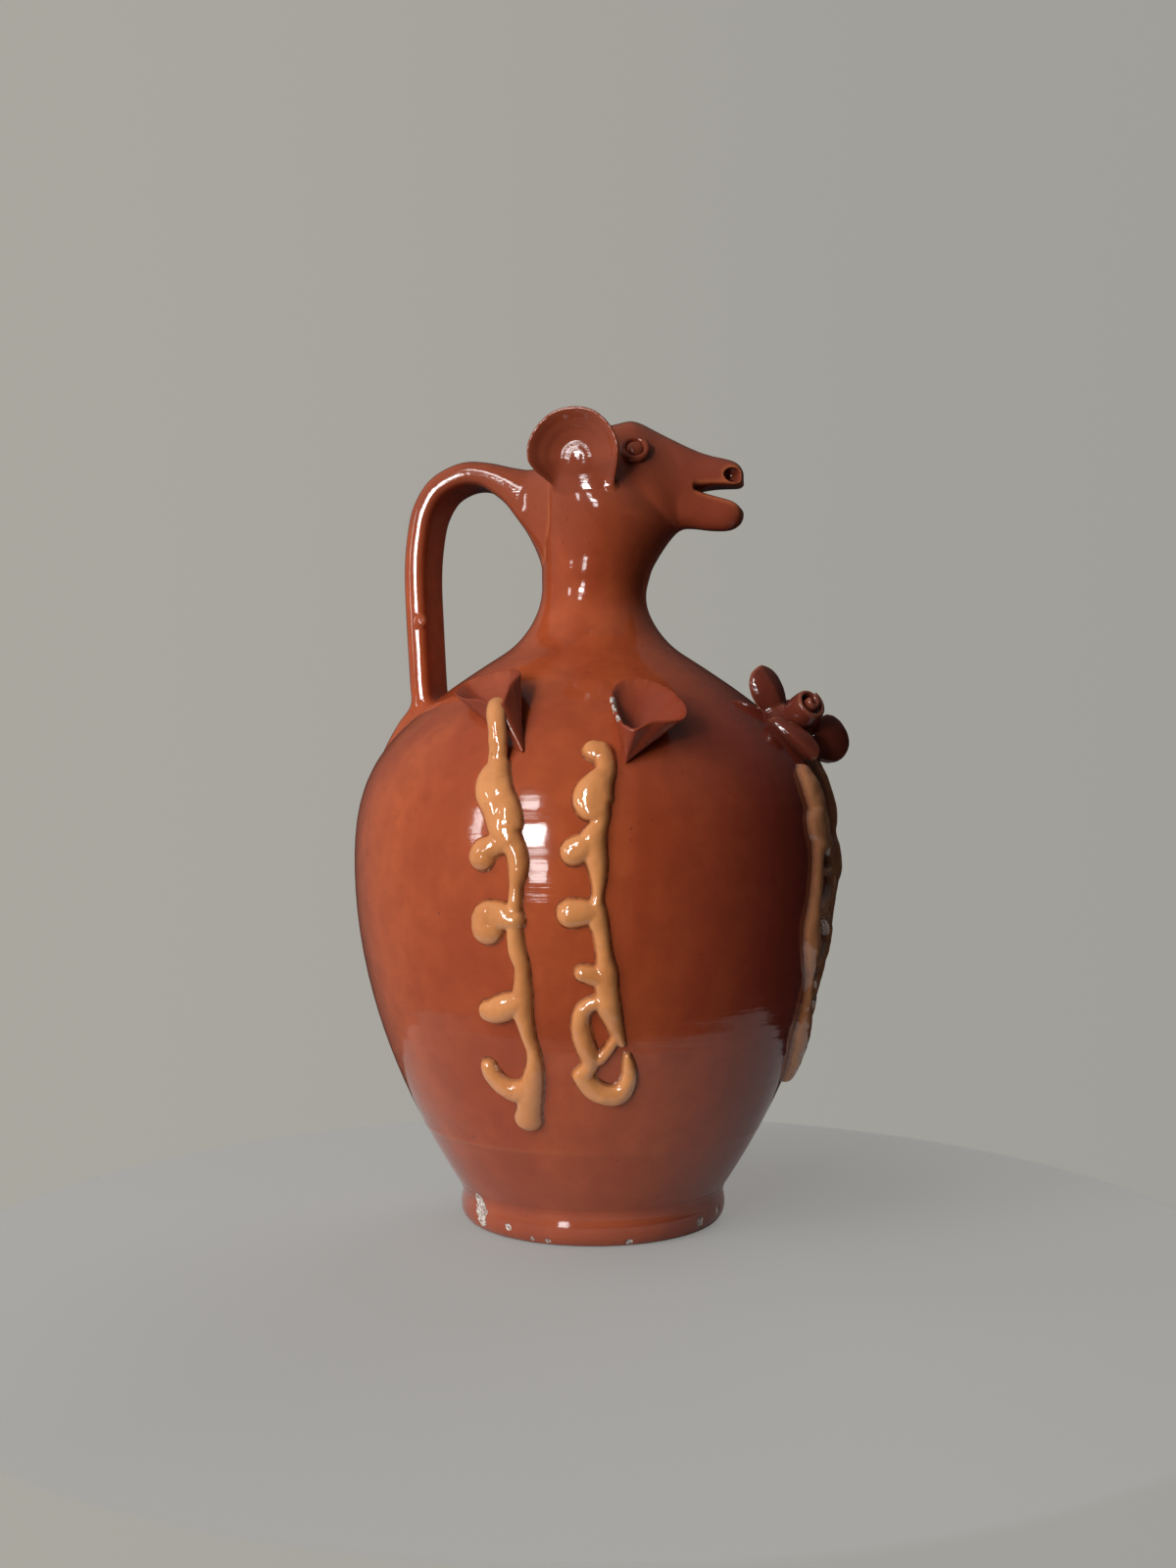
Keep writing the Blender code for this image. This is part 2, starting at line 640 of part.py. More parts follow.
def make_handle(material, head_seat, wall_seat):
    """A pulled strap, luted to the back of the head and thumbed down onto the shoulder."""
    reach = STRAP_REACH - WAIST_RADIUS
    stations = [(WAIST_RADIUS + share * reach, HEAD_Z + rise * STRAP_RISE, thick * STRAP_THICKNESS)
                for share, rise, thick in HANDLE_TOP]
    stations += [(WAIST_RADIUS + share * reach, SEAM_Z + rise * STRAP_RISE, thick * STRAP_THICKNESS)
                 for share, rise, thick in HANDLE_SHAFT]
    for drop, proud in HANDLE_TAIL:
        height = SEAM_Z - drop * SHOULDER_RISE
        stations.append((wall_radius(height) + proud * STRAP_THICKNESS, height, STRAP_THICKNESS))
    route = smooth_path(stations, 2)
    rings = []
    for i, (out, height, thickness) in enumerate(route):
        before, after = route[max(i - 1, 0)], route[min(i + 1, len(route) - 1)]
        along = Vector((before[0] - after[0], 0.0, after[1] - before[1])).normalized()
        inward = Vector((-along.z, 0.0, along.x))
        middle = Vector((-out, 0.0, height)) + inward * thickness / 2
        ring = []
        for k in range(14):
            turn = 2 * pi * k / 14
            c, s = cos(turn), sin(turn)
            across = STRAP_WIDTH / 2 * abs(c) ** STRAP_SQUARENESS * (1 if c > 0 else -1)
            deep = thickness / 2 * abs(s) ** STRAP_SQUARENESS * (1 if s > 0 else -1)
            ring.append(middle + Vector((0.0, across, 0.0)) + deep * inward)
        rings.append(ring)
    handle = add_piece("handle", loft(rings), material)
    cut(handle, head_seat, wall_seat)
    return handle


# Leaves: where they sit, then the rim's points and the leaf's own point, as shares of its span
# sideways, of its height upwards, and of its stand off the wall
BACK_LEAF = (
    109.0, BACK_LEAF_DROP,
    [(-0.58, -0.29, 0.59), (-0.60, -0.01, 0.29), (-0.12, 0.02, 0.51), (0.46, -0.07, 0.87),
     (0.62, -0.37, 1.05), (0.62, -0.53, 1.00), (0.28, -0.60, 1.02), (-0.20, -0.52, 0.90)],
    (0.88, -0.84, -0.67),
)
SIDE_LEAF = (
    61.5, SIDE_LEAF_DROP,
    [(-0.48, -0.10, 0.44), (-0.19, 0.19, 0.38), (0.10, 0.25, 0.32), (0.42, 0.00, 0.56),
     (0.50, -0.42, 1.00), (0.31, -0.63, 1.00), (-0.27, -0.64, 0.85), (-0.46, -0.46, 0.60)],
    (-0.37, -0.74, -0.45),
)


def make_leaf(name, side, leaf, material, wall_seat):
    """A slab curled into a pointed cup: its point is pressed on the wall and its rim stands open."""
    angle, drop, rim_shares, point_share = leaf
    place, sideways, upwards, outwards = wall_frame(side * angle, SEAM_Z - drop)

    def spot(share):
        return (place - side * sideways * share[0] * LEAF_SPAN + upwards * share[1] * LEAF_HEIGHT
                + outwards * share[2] * LEAF_STAND)

    point = spot(point_share)
    rim = smooth_path([spot(share) for share in [rim_shares[-1], *rim_shares, *rim_shares[:2]]], 2)[2:-3]
    rim = [Vector(place) for place in rim]

    def ring(share, wall):
        size = (1 - share) ** 0.8
        middle = sum(rim, Vector()) / len(rim)
        middle_now = middle.lerp(point, share)
        found = []
        for place_on_rim in rim:
            spoke = (place_on_rim - middle) * size
            found.append(middle_now + spoke * max(0.25, 1 - wall / spoke.length))
        return found

    inner = [ring(share, LEAF_WALL) for share in (0.70, 0.45, 0.20, 0.0)]
    outer = [ring(share, 0.0) for share in (0.0, 0.22, 0.48, 0.74, 0.93)]
    leaf_cup = add_piece(name, loft(inner + outer), material)
    cut(leaf_cup, wall_seat)


# Petals: degrees round the stem from the left side, droop, twist, then how far along the stem
# and how far out from it they sit, as shares of its length and radius
PETALS = [
    (96.0, -4.0, -38.0, 0.52, 0.32),
    (226.0, 0.0, 15.0, 0.34, 0.70),
    (286.0, -22.0, 62.0, 0.20, 1.30),
    (342.0, 6.0, 0.0, 0.60, 0.60),
    (35.0, 10.0, 0.0, 0.48, 0.60),
]


def make_flower(material, wall_seat):
    """A stem on the shoulder that carries five thumbed petals and a bud rolled from a strip."""
    base, _, _, _ = wall_frame(0.0, SEAM_Z - FLOWER_HEIGHT)
    tilt = radians(FLOWER_TILT)
    axis = Vector((cos(tilt), 0.0, sin(tilt)))
    up = Vector((-sin(tilt), 0.0, cos(tilt)))
    across = Vector((0.0, 1.0, 0.0))

    def spot(ahead, out, turn):
        return base + axis * ahead + (across * cos(turn) + up * sin(turn)) * out

    def stem_rings(grow):
        stations = (
            (-1.5 * STEM_LENGTH, 1.35),
            (0.0, 1.15),
            (0.6 * STEM_LENGTH, 0.95),
            (STEM_LENGTH + grow, 0.80),
        )
        return [[spot(ahead, STEM_RADIUS * wide + grow, 2 * pi * i / 16) for i in range(16)]
                for ahead, wide in stations]

    stem = add_piece("flower_stem", loft(stem_rings(0.0)), material)
    cut(stem, wall_seat)
    stem_seat = add_cutter("stem_seat", loft(stem_rings(JOINT)))
    for number, (degrees_round, droop, twist, ahead, out) in enumerate(PETALS, 1):
        turn, lean, roll = radians(degrees_round), radians(droop), radians(twist)
        spoke = across * cos(turn) + up * sin(turn)
        outward = spoke * cos(lean) - axis * sin(lean)
        flat_face = axis * cos(lean) + spoke * sin(lean)
        flat_side = outward.cross(flat_face)
        face = flat_face * cos(roll) + flat_side * sin(roll)
        sideways = outward.cross(face)
        centre = base + axis * (STEM_LENGTH * ahead) + outward * (PETAL_LENGTH / 2 + out * STEM_RADIUS)
        bm = bmesh.new()
        bmesh.ops.create_uvsphere(bm, u_segments=16, v_segments=8, radius=1.0)
        for vert in bm.verts:
            x, y, z = vert.co
            cup = PETAL_CUP * (x * x + y * y)
            vert.co = (centre + outward * (x * PETAL_LENGTH / 2)
                       + sideways * (y * PETAL_WIDTH / 2 * (1 + PETAL_TAPER * x))
                       + face * (z * PETAL_THICKNESS / 2 + cup))
        petal = add_piece(f"petal_{number}", bm, material)
        cut(petal, wall_seat, stem_seat)
    rings = []
    turns, steps = 1.35, 22
    for i in range(steps + 1):
        share = i / steps
        turn = 2 * pi * turns * share
        out = BUD_RADIUS * (0.30 + 0.52 * share)
        half = BUD_RADIUS * 0.17
        top = STEM_LENGTH + JOINT + BUD_LENGTH * (1.0 - 0.22 * share)
        section = [
            (STEM_LENGTH + JOINT, out - half),
            (STEM_LENGTH + JOINT, out + half),
            (STEM_LENGTH + 0.5 * BUD_LENGTH, out + 1.25 * half),
            (top, out + 0.6 * half),
            (top, out - half),
        ]
        rings.append([spot(ahead, away, turn) - up * BUD_DROP for ahead, away in section])
    add_piece("flower_bud", loft(rings), material)


def main():
    clear_scene()
    bpy.context.scene.collection.objects.link(bpy.data.objects.new("pitcher", None))
    redware = make_material("redware", REDWARE, 0.16)
    dark_redware = make_material("dark_redware", REDWARE_DARK, 0.22)
    slip = make_material("ochre_slip", OCHRE_SLIP, 0.14)
    make_body(redware)
    make_neck(redware)
    wall_seat = make_wall_seat()
    channel = make_pour_channel()
    make_head(redware, channel)
    make_upper_jaw(redware)
    make_lower_jaw(redware, channel)
    head_seat = make_head_seat()
    for side, name in ((-1, "right"), (1, "left")):
        make_ear(side, f"ear_{name}", redware, head_seat)
        make_eye(side, name, redware, head_seat)
        mirror = -side
        make_leaf(f"leaf_back_{name}", side, BACK_LEAF, dark_redware, wall_seat)
        make_leaf(f"leaf_side_{name}", side, SIDE_LEAF, dark_redware, wall_seat)
        make_strand(f"strand_back_{name}", *BACK_STRAND, mirror, slip, wall_seat)
        make_strand(f"strand_side_{name}", *SIDE_STRAND, mirror, slip, wall_seat)
    make_strand("strand_flower_right", *NEAR_FLOWER_STRAND, 1, slip, wall_seat)
    make_strand("strand_flower_left", *FAR_FLOWER_STRAND, 1, slip, wall_seat)
    make_handle(redware, head_seat, wall_seat)
    make_flower(dark_redware, wall_seat)


main()
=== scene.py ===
import math

import bmesh
import bpy
import numpy as np
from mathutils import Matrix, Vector, noise
from mathutils.bvhtree import BVHTree
from mathutils.geometry import interpolate_bezier


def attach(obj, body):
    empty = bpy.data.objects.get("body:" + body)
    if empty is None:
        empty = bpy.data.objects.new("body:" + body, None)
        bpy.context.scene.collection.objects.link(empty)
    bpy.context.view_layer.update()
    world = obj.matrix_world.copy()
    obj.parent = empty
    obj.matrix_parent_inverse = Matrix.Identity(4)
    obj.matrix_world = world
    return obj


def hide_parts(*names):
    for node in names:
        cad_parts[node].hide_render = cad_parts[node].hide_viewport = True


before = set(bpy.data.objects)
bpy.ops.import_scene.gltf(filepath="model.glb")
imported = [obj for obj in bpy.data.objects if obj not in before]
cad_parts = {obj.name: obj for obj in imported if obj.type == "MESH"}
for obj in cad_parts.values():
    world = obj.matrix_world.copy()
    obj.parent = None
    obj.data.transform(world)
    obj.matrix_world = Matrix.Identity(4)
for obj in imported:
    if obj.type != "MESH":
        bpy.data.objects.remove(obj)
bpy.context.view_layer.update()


# Body. The hollow belly, thrown on the wheel in red clay with its foot and its floor, and turned
# smooth. Its wall keeps the soft rings of the potter's fingers and one sharper ridge low down.

def bezier(start, start_handle, end_handle, end, count):
    corners = [Vector((r, 0.0, z)) for r, z in (start, start_handle, end_handle, end)]
    return [(point.x, point.z) for point in interpolate_bezier(*corners, count)]


def smooth_path(points, steps):
    """Points on a curve through the given ones, with steps points to each stretch."""
    found = []
    last = len(points) - 1
    for i in range(last):
        before, start = points[max(i - 1, 0)], points[i]
        end, after = points[i + 1], points[min(i + 2, last)]
        for k in range(steps):
            t = k / steps
            found.append(tuple(
                b + 0.5 * t * (c - a + t * (2 * a - 5 * b + 4 * c - d + t * (3 * (b - c) + d - a)))
                for a, b, c, d in zip(before, start, end, after)
            ))
    return found + [tuple(points[-1])]


def spaced(line, finest, coarsest, near_start=False, near_end=False):
    """Points along a line, closer together towards an end where two pieces meet."""
    line = np.array(line)
    run = np.concatenate([[0.0], np.cumsum(np.hypot(*np.diff(line, axis=0).T))])
    stops = [0.0]
    while stops[-1] < run[-1]:
        near = min([stops[-1]] * near_start + [run[-1] - stops[-1]] * near_end + [1.0])
        stops.append(stops[-1] + min(coarsest, finest + 0.15 * near))
    stops = np.array(stops) * run[-1] / stops[-1]
    return list(zip(np.interp(stops, run, line[:, 0]), np.interp(stops, run, line[:, 1])))


seam_z = 0.2128
head_z = 0.2400
foot_top = 0.0103
wall_thickness = 0.0052
belly_line = bezier((0.0482, foot_top), (0.0768, 0.0518), (0.0903, 0.0952), (0.0903, 0.1360), 1200)
belly_line += bezier((0.0903, 0.1360), (0.0903, 0.1722), (0.0771, 0.1857), (0.0350, seam_z), 1200)[1:]
neck_line = bezier((0.0350, seam_z), (0.0267, 0.2180), (0.0193, 0.2286), (0.0193, head_z), 800)
wall_line = np.array(belly_line + neck_line[1:])


def wall_radius(height):
    return float(np.interp(height, wall_line[:, 1], wall_line[:, 0]))


def near_ridge(height, turn, ridge_z, width):
    """How near a place is to the ridge above the foot, which wanders a little up and down."""
    return np.exp(-((height - ridge_z + 0.0006 * np.sin(turn + 1.0)) / width) ** 2)


def wheel_marks(radius, height, turn):
    """A thrown wall: never quite round, ringed by the fingers, with one ridge above the foot."""
    drift = 0.00015 * (1 - np.sin(turn + 9 * height) * np.cos(2 * turn - 31 * height))
    rings = np.sin(height * 885 + 1.4 * np.sin(90 * height) + 0.35 * np.sin(turn))
    ridge = near_ridge(height, turn, 0.0365, 0.0011) * (0.6 + 0.4 * np.cos(turn + 1.9))
    above_foot = np.clip((height - foot_top) / 0.02, 0.0, 1.0)
    below_head = np.clip((head_z - height) / 0.02, 0.0, 1.0)
    return radius + above_foot * below_head * (0.00002 * rings + 0.00026 * ridge - drift)


glazes = {}


def piece_of(name, mesh, slot, *nodes, glaze=None):
    """A finished piece: smooth, glazed, riding on the jug, in the place of the nodes it is made for."""
    mesh.shade_smooth()
    mesh.set_sharp_from_angle(angle=math.radians(50))
    mesh.materials.append(glazes[glaze or slot])
    piece = bpy.data.objects.new(name, mesh)
    bpy.context.scene.collection.objects.link(piece)
    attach(piece, "root")
    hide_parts(*nodes)
    return piece


def ring_mesh(name, rings, wrap=False):
    """A skin over rings of equally many points. Without wrap both ends are closed."""
    rings = np.asarray(rings, dtype=float)
    count, steps = rings.shape[:2]
    faces = []
    for i in range(count if wrap else count - 1):
        low, high = i * steps, (i + 1) % count * steps
        for k in range(steps):
            j = (k + 1) % steps
            faces.append((low + k, low + j, high + j, high + k))
    if not wrap:
        faces.append(tuple(range(steps))[::-1])
        faces.append(tuple(range((count - 1) * steps, count * steps)))
    mesh = bpy.data.meshes.new(name)
    mesh.from_pydata(rings.reshape(-1, 3).tolist(), [], faces)
    mesh.update()
    return mesh


def turned_rings(outline, marks=True):
    steps = 320
    turn = np.linspace(0.0, 2 * math.pi, steps, endpoint=False)[None, :]
    radius = np.array([point[0] for point in outline])[:, None]
    height = np.array([point[1] for point in outline])[:, None] + 0 * turn
    if marks:
        radius = wheel_marks(radius, height, turn)
    return np.stack([radius * np.cos(turn), radius * np.sin(turn), height], axis=2)


def inward(line, distance):
    """A wall's inner face: its outer line moved in, square to itself."""
    line = np.array(line)
    along = np.gradient(line, axis=0)
    along /= np.linalg.norm(along, axis=1)[:, None]
    return [tuple(point) for point in line + distance * np.stack([-along[:, 1], along[:, 0]], axis=1)]


foot_seam = 0.0135
foot_line = smooth_path([
    (0.05045, foot_seam), (0.0499, 0.0122), (0.04965, 0.0108), (0.0498, 0.0090), (0.0501, 0.0070),
    (0.0501, 0.0048), (0.0496, 0.0028), (0.0485, 0.0011), (0.0470, 0.0002),
], 6)
# Knocks on the foot: degrees from the front, height, and size
foot_knocks = [
    (-133.0, 0.0120, 0.0026), (-131.4, 0.0086, 0.0034), (-130.2, 0.0052, 0.0029), (-127.5, 0.0082, 0.0011),
    (-113.5, 0.0052, 0.0014), (-102.0, 0.0022, 0.0010), (-95.0, 0.0020, 0.0012), (-61.0, 0.0016, 0.0016),
    (-25.0, 0.0048, 0.0020), (-8.5, 0.0058, 0.0018), (36.0, 0.0030, 0.0018), (104.0, 0.0042, 0.0016),
    (168.0, 0.0028, 0.0020),
]
foot_edge = 0.0495
knock_places = []
for angle, height, _ in foot_knocks:
    turn = math.radians(angle)
    knock_places.append(Vector((foot_edge * math.cos(turn), foot_edge * math.sin(turn), height)))


def knocked(rings):
    """Flakes broken off the foot, shallow and sharp at their upper edge."""
    for place, (_, _, size) in zip(knock_places, foot_knocks):
        away = np.linalg.norm(rings - np.array(place), axis=2) / size
        bite = np.clip(1.25 - away, 0.0, 1.0)[..., None]
        rings = rings - bite * rings * np.array([1.0, 1.0, 0.0]) * 0.0085 * min(1.0, size / 0.0015)
    return rings


def coordinates(mesh):
    points = np.empty(len(mesh.vertices) * 3)
    mesh.vertices.foreach_get("co", points)
    return points.reshape(-1, 3)


def note(mesh, name, values):
    """Keeps one value for each point of a mesh, for its glaze to read."""
    mesh.attributes.new(name, "FLOAT", "POINT").data.foreach_set("value", values)


foot_wall = spaced(foot_line[::-1], 0.0005, 0.0005)[1:]
belly_wall = spaced([point for point in belly_line if point[1] > foot_seam], 0.0003, 0.0011, near_end=True)
wall_outside = knocked(turned_rings(foot_wall + belly_wall))
body_inside = [point for point in inward(belly_line[::60], wall_thickness) if point[1] > 0.012][::-1]
inner_floor = 0.008
body_inside += [(0.8 * body_inside[-1][0], inner_floor), (0.010, inner_floor)]
bottom = turned_rings([(0.0100, 0.0), (0.0300, 0.0), (0.0455, 0.0)], marks=False)
body_skin = ring_mesh("body", np.concatenate([bottom, wall_outside, turned_rings(body_inside, marks=False)]))
points = coordinates(body_skin)
turns, heights = np.arctan2(points[:, 1], points[:, 0]), points[:, 2]
# Painted highlights, noted as crest for the glaze: a line along the ridge above the foot, strongest on the
# side towards the window light, and a band round the foot's flare.
painted_ridge_highlight = near_ridge(heights, turns, 0.0363, 0.0009) * (0.5 + 0.5 * np.cos(turns + 1.9)) ** 2
painted_foot_highlight = np.exp(-((heights - 0.0090) / 0.0020) ** 2)
note(body_skin, "crest", 0.42 * painted_ridge_highlight + 0.25 * painted_foot_highlight)


def effect(name, outputs, **inputs):
    """A shared shader effect: its tree, its named inputs and its named outputs."""
    tree = bpy.data.node_groups.new(name, "ShaderNodeTree")
    for label, value in inputs.items():
        kind = "NodeSocketVector" if isinstance(value, tuple) else "NodeSocketFloat"
        tree.interface.new_socket(name=label, in_out="INPUT", socket_type=kind).default_value = value
    for label in outputs:
        tree.interface.new_socket(name=label, in_out="OUTPUT", socket_type="NodeSocketFloat")
    return tree, tree.nodes.new("NodeGroupInput").outputs, tree.nodes.new("NodeGroupOutput").inputs


def node(tree, kind, **settings):
    """A node whose settings are named, and whose inputs are given by name or number in a dict."""
    made = tree.nodes.new(kind)
    inputs = settings.pop("inputs", {})
    for setting, value in settings.items():
        setattr(made, setting, value)
    for key, value in inputs.items():
        socket = made.inputs[key]
        if isinstance(value, bpy.types.NodeSocket):
            tree.links.new(value, socket)
        else:
            socket.default_value = value
    return made


def sums(tree, operation, first, second=0.0, third=0.0):
    return node(tree, "ShaderNodeMath", operation=operation,
                inputs={0: first, 1: second, 2: third}).outputs[0]


def between(tree, value, low, high, start=0.0, end=1.0):
    return node(tree, "ShaderNodeMapRange", interpolation_type="SMOOTHSTEP", inputs={
        "Value": value, "From Min": low, "From Max": high, "To Min": start, "To Max": end}).outputs["Result"]


def blend(tree, share, first, second):
    made = node(tree, "ShaderNodeMix", data_type="RGBA", inputs={0: share})
    for key, value in ((6, first), (7, second)):
        if isinstance(value, bpy.types.NodeSocket):
            tree.links.new(value, made.inputs[key])
        else:
            made.inputs[key].default_value = (*value, 1.0)
    return made.outputs[2]


def blend_value(tree, share, first, second):
    return node(tree, "ShaderNodeMix", data_type="FLOAT", inputs={0: share, 2: first, 3: second}).outputs[0]


def vector_sum(tree, operation, first, second):
    """Two vectors multiplied, or the one value of their product or of the distance between them."""
    made = node(tree, "ShaderNodeVectorMath", operation=operation, inputs={0: first, 1: second})
    return made.outputs["Vector" if operation == "MULTIPLY" else "Value"]


def own_place(tree):
    return node(tree, "ShaderNodeTexCoord").outputs["Object"]


def cloudy(tree, place, size, detail, roughness=0.5, distortion=0.0):
    return node(tree, "ShaderNodeTexNoise", inputs={
        "Vector": place, "Scale": size, "Detail": detail, "Roughness": roughness,
        "Distortion": distortion}).outputs["Fac"]


def scattered(tree, place, size, share):
    """Spots strewn at random: whether each is kept, a lot drawn for it, and the distance from its middle."""
    cells = node(tree, "ShaderNodeTexVoronoi", inputs={"Vector": place, "Scale": size}).outputs
    lots = node(tree, "ShaderNodeSeparateColor", inputs={0: cells["Color"]}).outputs
    return sums(tree, "LESS_THAN", lots[0], share), lots[1], cells["Distance"]


def kiln_clouds():
    """Soft drifts of colour where the glaze lay thick or thin and the flame passed."""
    tree, given, out = effect("kiln_clouds", ["Value"], Size=30.0, Stretch=1.0)
    run = node(tree, "ShaderNodeCombineXYZ", inputs={0: 1.0, 1: 1.0, 2: given["Stretch"]})
    place = vector_sum(tree, "MULTIPLY", own_place(tree), run.outputs[0])
    cloud = cloudy(tree, place, given["Size"], 5.0, 0.55, 0.4)
    tree.links.new(between(tree, cloud, 0.32, 0.68), out["Value"])
    return tree


def iron_specks():
    """Dark flecks of iron in the clay, seen through the glaze, a few to the square centimetre."""
    tree, given, out = effect("iron_specks", ["Mask"], Size=420.0, Share=0.1)
    kept, lot, away = scattered(tree, own_place(tree), given["Size"], given["Share"])
    dot = between(tree, away, sums(tree, "MULTIPLY_ADD", lot, 0.22, 0.10), 0.0)
    tree.links.new(sums(tree, "MULTIPLY", kept, dot), out["Mask"])
    return tree


def glaze_skin():
    """The surface of the glaze: fine level ripples from the wheel, slow waves, and pinholes."""
    tree, given, out = effect("glaze_skin", ["Height", "Pinhole"], Ripple=1.0, Pinholes=0.05)
    place = own_place(tree)
    lines = cloudy(tree, vector_sum(tree, "MULTIPLY", place, (14.0, 14.0, 620.0)), 1.0, 3.0)
    ripple = sums(tree, "MULTIPLY", lines, sums(tree, "MULTIPLY", given["Ripple"], 1.2))
    height = sums(tree, "MULTIPLY_ADD", cloudy(tree, place, 130.0, 2.0), 2.2, ripple)
    height = sums(tree, "MULTIPLY_ADD", cloudy(tree, place, 900.0, 2.0), 0.07, height)
    kept, _, away = scattered(tree, place, 210.0, given["Pinholes"])
    hole = sums(tree, "MULTIPLY", kept, between(tree, away, 0.11, 0.03))
    tree.links.new(sums(tree, "MULTIPLY_ADD", hole, -1.6, height), out["Height"])
    tree.links.new(hole, out["Pinhole"])
    return tree


def knock():
    """A flake broken off down to the pale clay, with a ragged edge."""
    tree, given, out = effect("knock", ["Mask"], Place=(0.0, 0.0, 0.0), Size=0.002)
    place = own_place(tree)
    away = vector_sum(tree, "DISTANCE", place, given["Place"])
    ragged = sums(tree, "MULTIPLY_ADD", cloudy(tree, place, 520.0, 4.0, 0.7), 1.5, -0.75)
    reach = sums(tree, "MULTIPLY_ADD", ragged, given["Size"], given["Size"])
    tree.links.new(between(tree, sums(tree, "DIVIDE", away, reach), 1.0, 0.88), out["Mask"])
    return tree


effects = {tree.name: tree for tree in (kiln_clouds(), iron_specks(), glaze_skin(), knock())}


def shared(tree, name, **inputs):
    made = tree.nodes.new("ShaderNodeGroup")
    made.node_tree = effects[name]
    for key, value in inputs.items():
        made.inputs[key].default_value = value
    return made.outputs


def new_material(name):
    """A material, its node tree and its shader."""
    material = bpy.data.materials.new(name)
    material.use_nodes = True
    return material, material.node_tree, material.node_tree.nodes["Principled BSDF"]


def fire(tree, shader, colour, rough, height, depth, constants):
    """Joins a glaze's colour, roughness and relief to its shader, whose other settings are constants."""
    relief = node(tree, "ShaderNodeBump", inputs={"Strength": 1.0, "Distance": depth, "Height": height})
    for socket, value in (("Base Color", colour), ("Roughness", rough), ("Normal", relief.outputs["Normal"])):
        tree.links.new(value, shader.inputs[socket])
    for socket, value in constants.items():
        shader.inputs[socket].default_value = value


to_right = Vector((0.970, 0.242, 0.0))


def glazed(name, deep, warm, thin_glaze_and_highlight, roughness, knocks=(), ripple=1.0, side_shade=0.75):
    """Clay under a clear, glossy, iron-stained glaze that pools dark in hollows and breaks light on edges,
    with painted shade in the hollows and on the side turned from the light.
    """
    material, tree, shader = new_material(name)
    place = own_place(tree)
    up = node(tree, "ShaderNodeSeparateXYZ", inputs={0: place}).outputs[2]
    shaded_side = vector_sum(tree, "DOT_PRODUCT", place, tuple(to_right))
    crest = node(tree, "ShaderNodeAttribute", attribute_name="crest").outputs["Fac"]
    drift = shared(tree, "kiln_clouds", Size=24.0, Stretch=0.45)["Value"]
    patches = shared(tree, "kiln_clouds", Size=105.0, Stretch=1.0)["Value"]
    specks = shared(tree, "iron_specks", Size=480.0, Share=0.10)["Mask"]
    skin = shared(tree, "glaze_skin", Ripple=ripple, Pinholes=0.035)
    colour = blend(tree, drift, deep, warm)
    for share, tint in (
        (sums(tree, "MULTIPLY", patches, 0.35), [0.72 * c for c in deep]),
        # Painted shade: the side turned from the window light, to the right, darkens towards crimson by
        # side_shade.
        (between(tree, shaded_side, 0.005, 0.080, 0.0, side_shade), (0.150, 0.013, 0.014)),
        (between(tree, up, 0.235, 0.285, 0.0, 0.5), (0.165, 0.044, 0.027)),
        (between(tree, up, 0.060, 0.0, 0.0, 0.4), (0.240, 0.062, 0.038)),
        # Where the skin stands out the glaze breaks thin and light, and on the body the same colour paints
        # highlights on the ridge and foot. In hollows the glaze pools dark, partly as painted shade.
        (between(tree, crest, 0.10, 0.75, 0.0, 0.85), thin_glaze_and_highlight),
        (between(tree, crest, -0.12, -1.0, 0.0, 0.6), [0.42 * c for c in deep]),
        (sums(tree, "MULTIPLY", specks, 0.55), [0.25 * c for c in deep]),
        (sums(tree, "MULTIPLY", skin["Pinhole"], 0.8), [0.3 * c for c in deep]),
    ):
        colour = blend(tree, share, colour, tint)
    rough = between(tree, patches, 0.0, 1.0, roughness * 0.85, roughness * 1.2)
    height = skin["Height"]
    constants = {
        "Coat Weight": 0.25, "Coat Roughness": 0.045, "Coat IOR": 1.5, "IOR": 1.5, "Specular IOR Level": 0.5}
    if knocks:
        masks = [shared(tree, "knock", Place=spot, Size=size)["Mask"] for spot, size in knocks]
        bare = masks[0]
        for mask in masks[1:]:
            bare = sums(tree, "MAXIMUM", bare, mask)
        powder = shared(tree, "kiln_clouds", Size=900.0, Stretch=1.0)["Value"]
        colour = blend(tree, bare, colour, blend(tree, powder, (0.16, 0.050, 0.032), (0.70, 0.67, 0.60)))
        rough = blend_value(tree, bare, rough, 0.75)
        height = sums(tree, "MULTIPLY_ADD", bare, -4.0, height)
        coat = blend_value(tree, bare, constants.pop("Coat Weight"), 0.0)
        tree.links.new(coat, shader.inputs["Coat Weight"])
    fire(tree, shader, colour, rough, height, 0.00006, constants)
    return material


glazes["redware"] = glazed(
    "glazed_redware", (0.290, 0.050, 0.017), (0.385, 0.077, 0.025), (0.42, 0.115, 0.042), 0.085,
    [(tuple(place), size) for place, (_, _, size) in zip(knock_places, foot_knocks)])
piece_of("thrown_body", body_skin, "redware", "body")


# Neck. A short collar, thrown apart and set on the shoulder while both were soft, then smeared in
# so that no joint shows.

def throat(height, turn):
    """How far the collar swells to meet the throat in front and the cheeks beside it."""
    front = 0.0016 * np.clip((height - 0.2270) / 0.0130, 0.0, None) ** 2 * (0.5 + 0.5 * np.cos(turn)) ** 1.3
    return front + 0.0008 * np.clip((height - 0.2285) / 0.0115, 0.0, None) ** 2 * np.abs(np.sin(turn)) ** 1.5


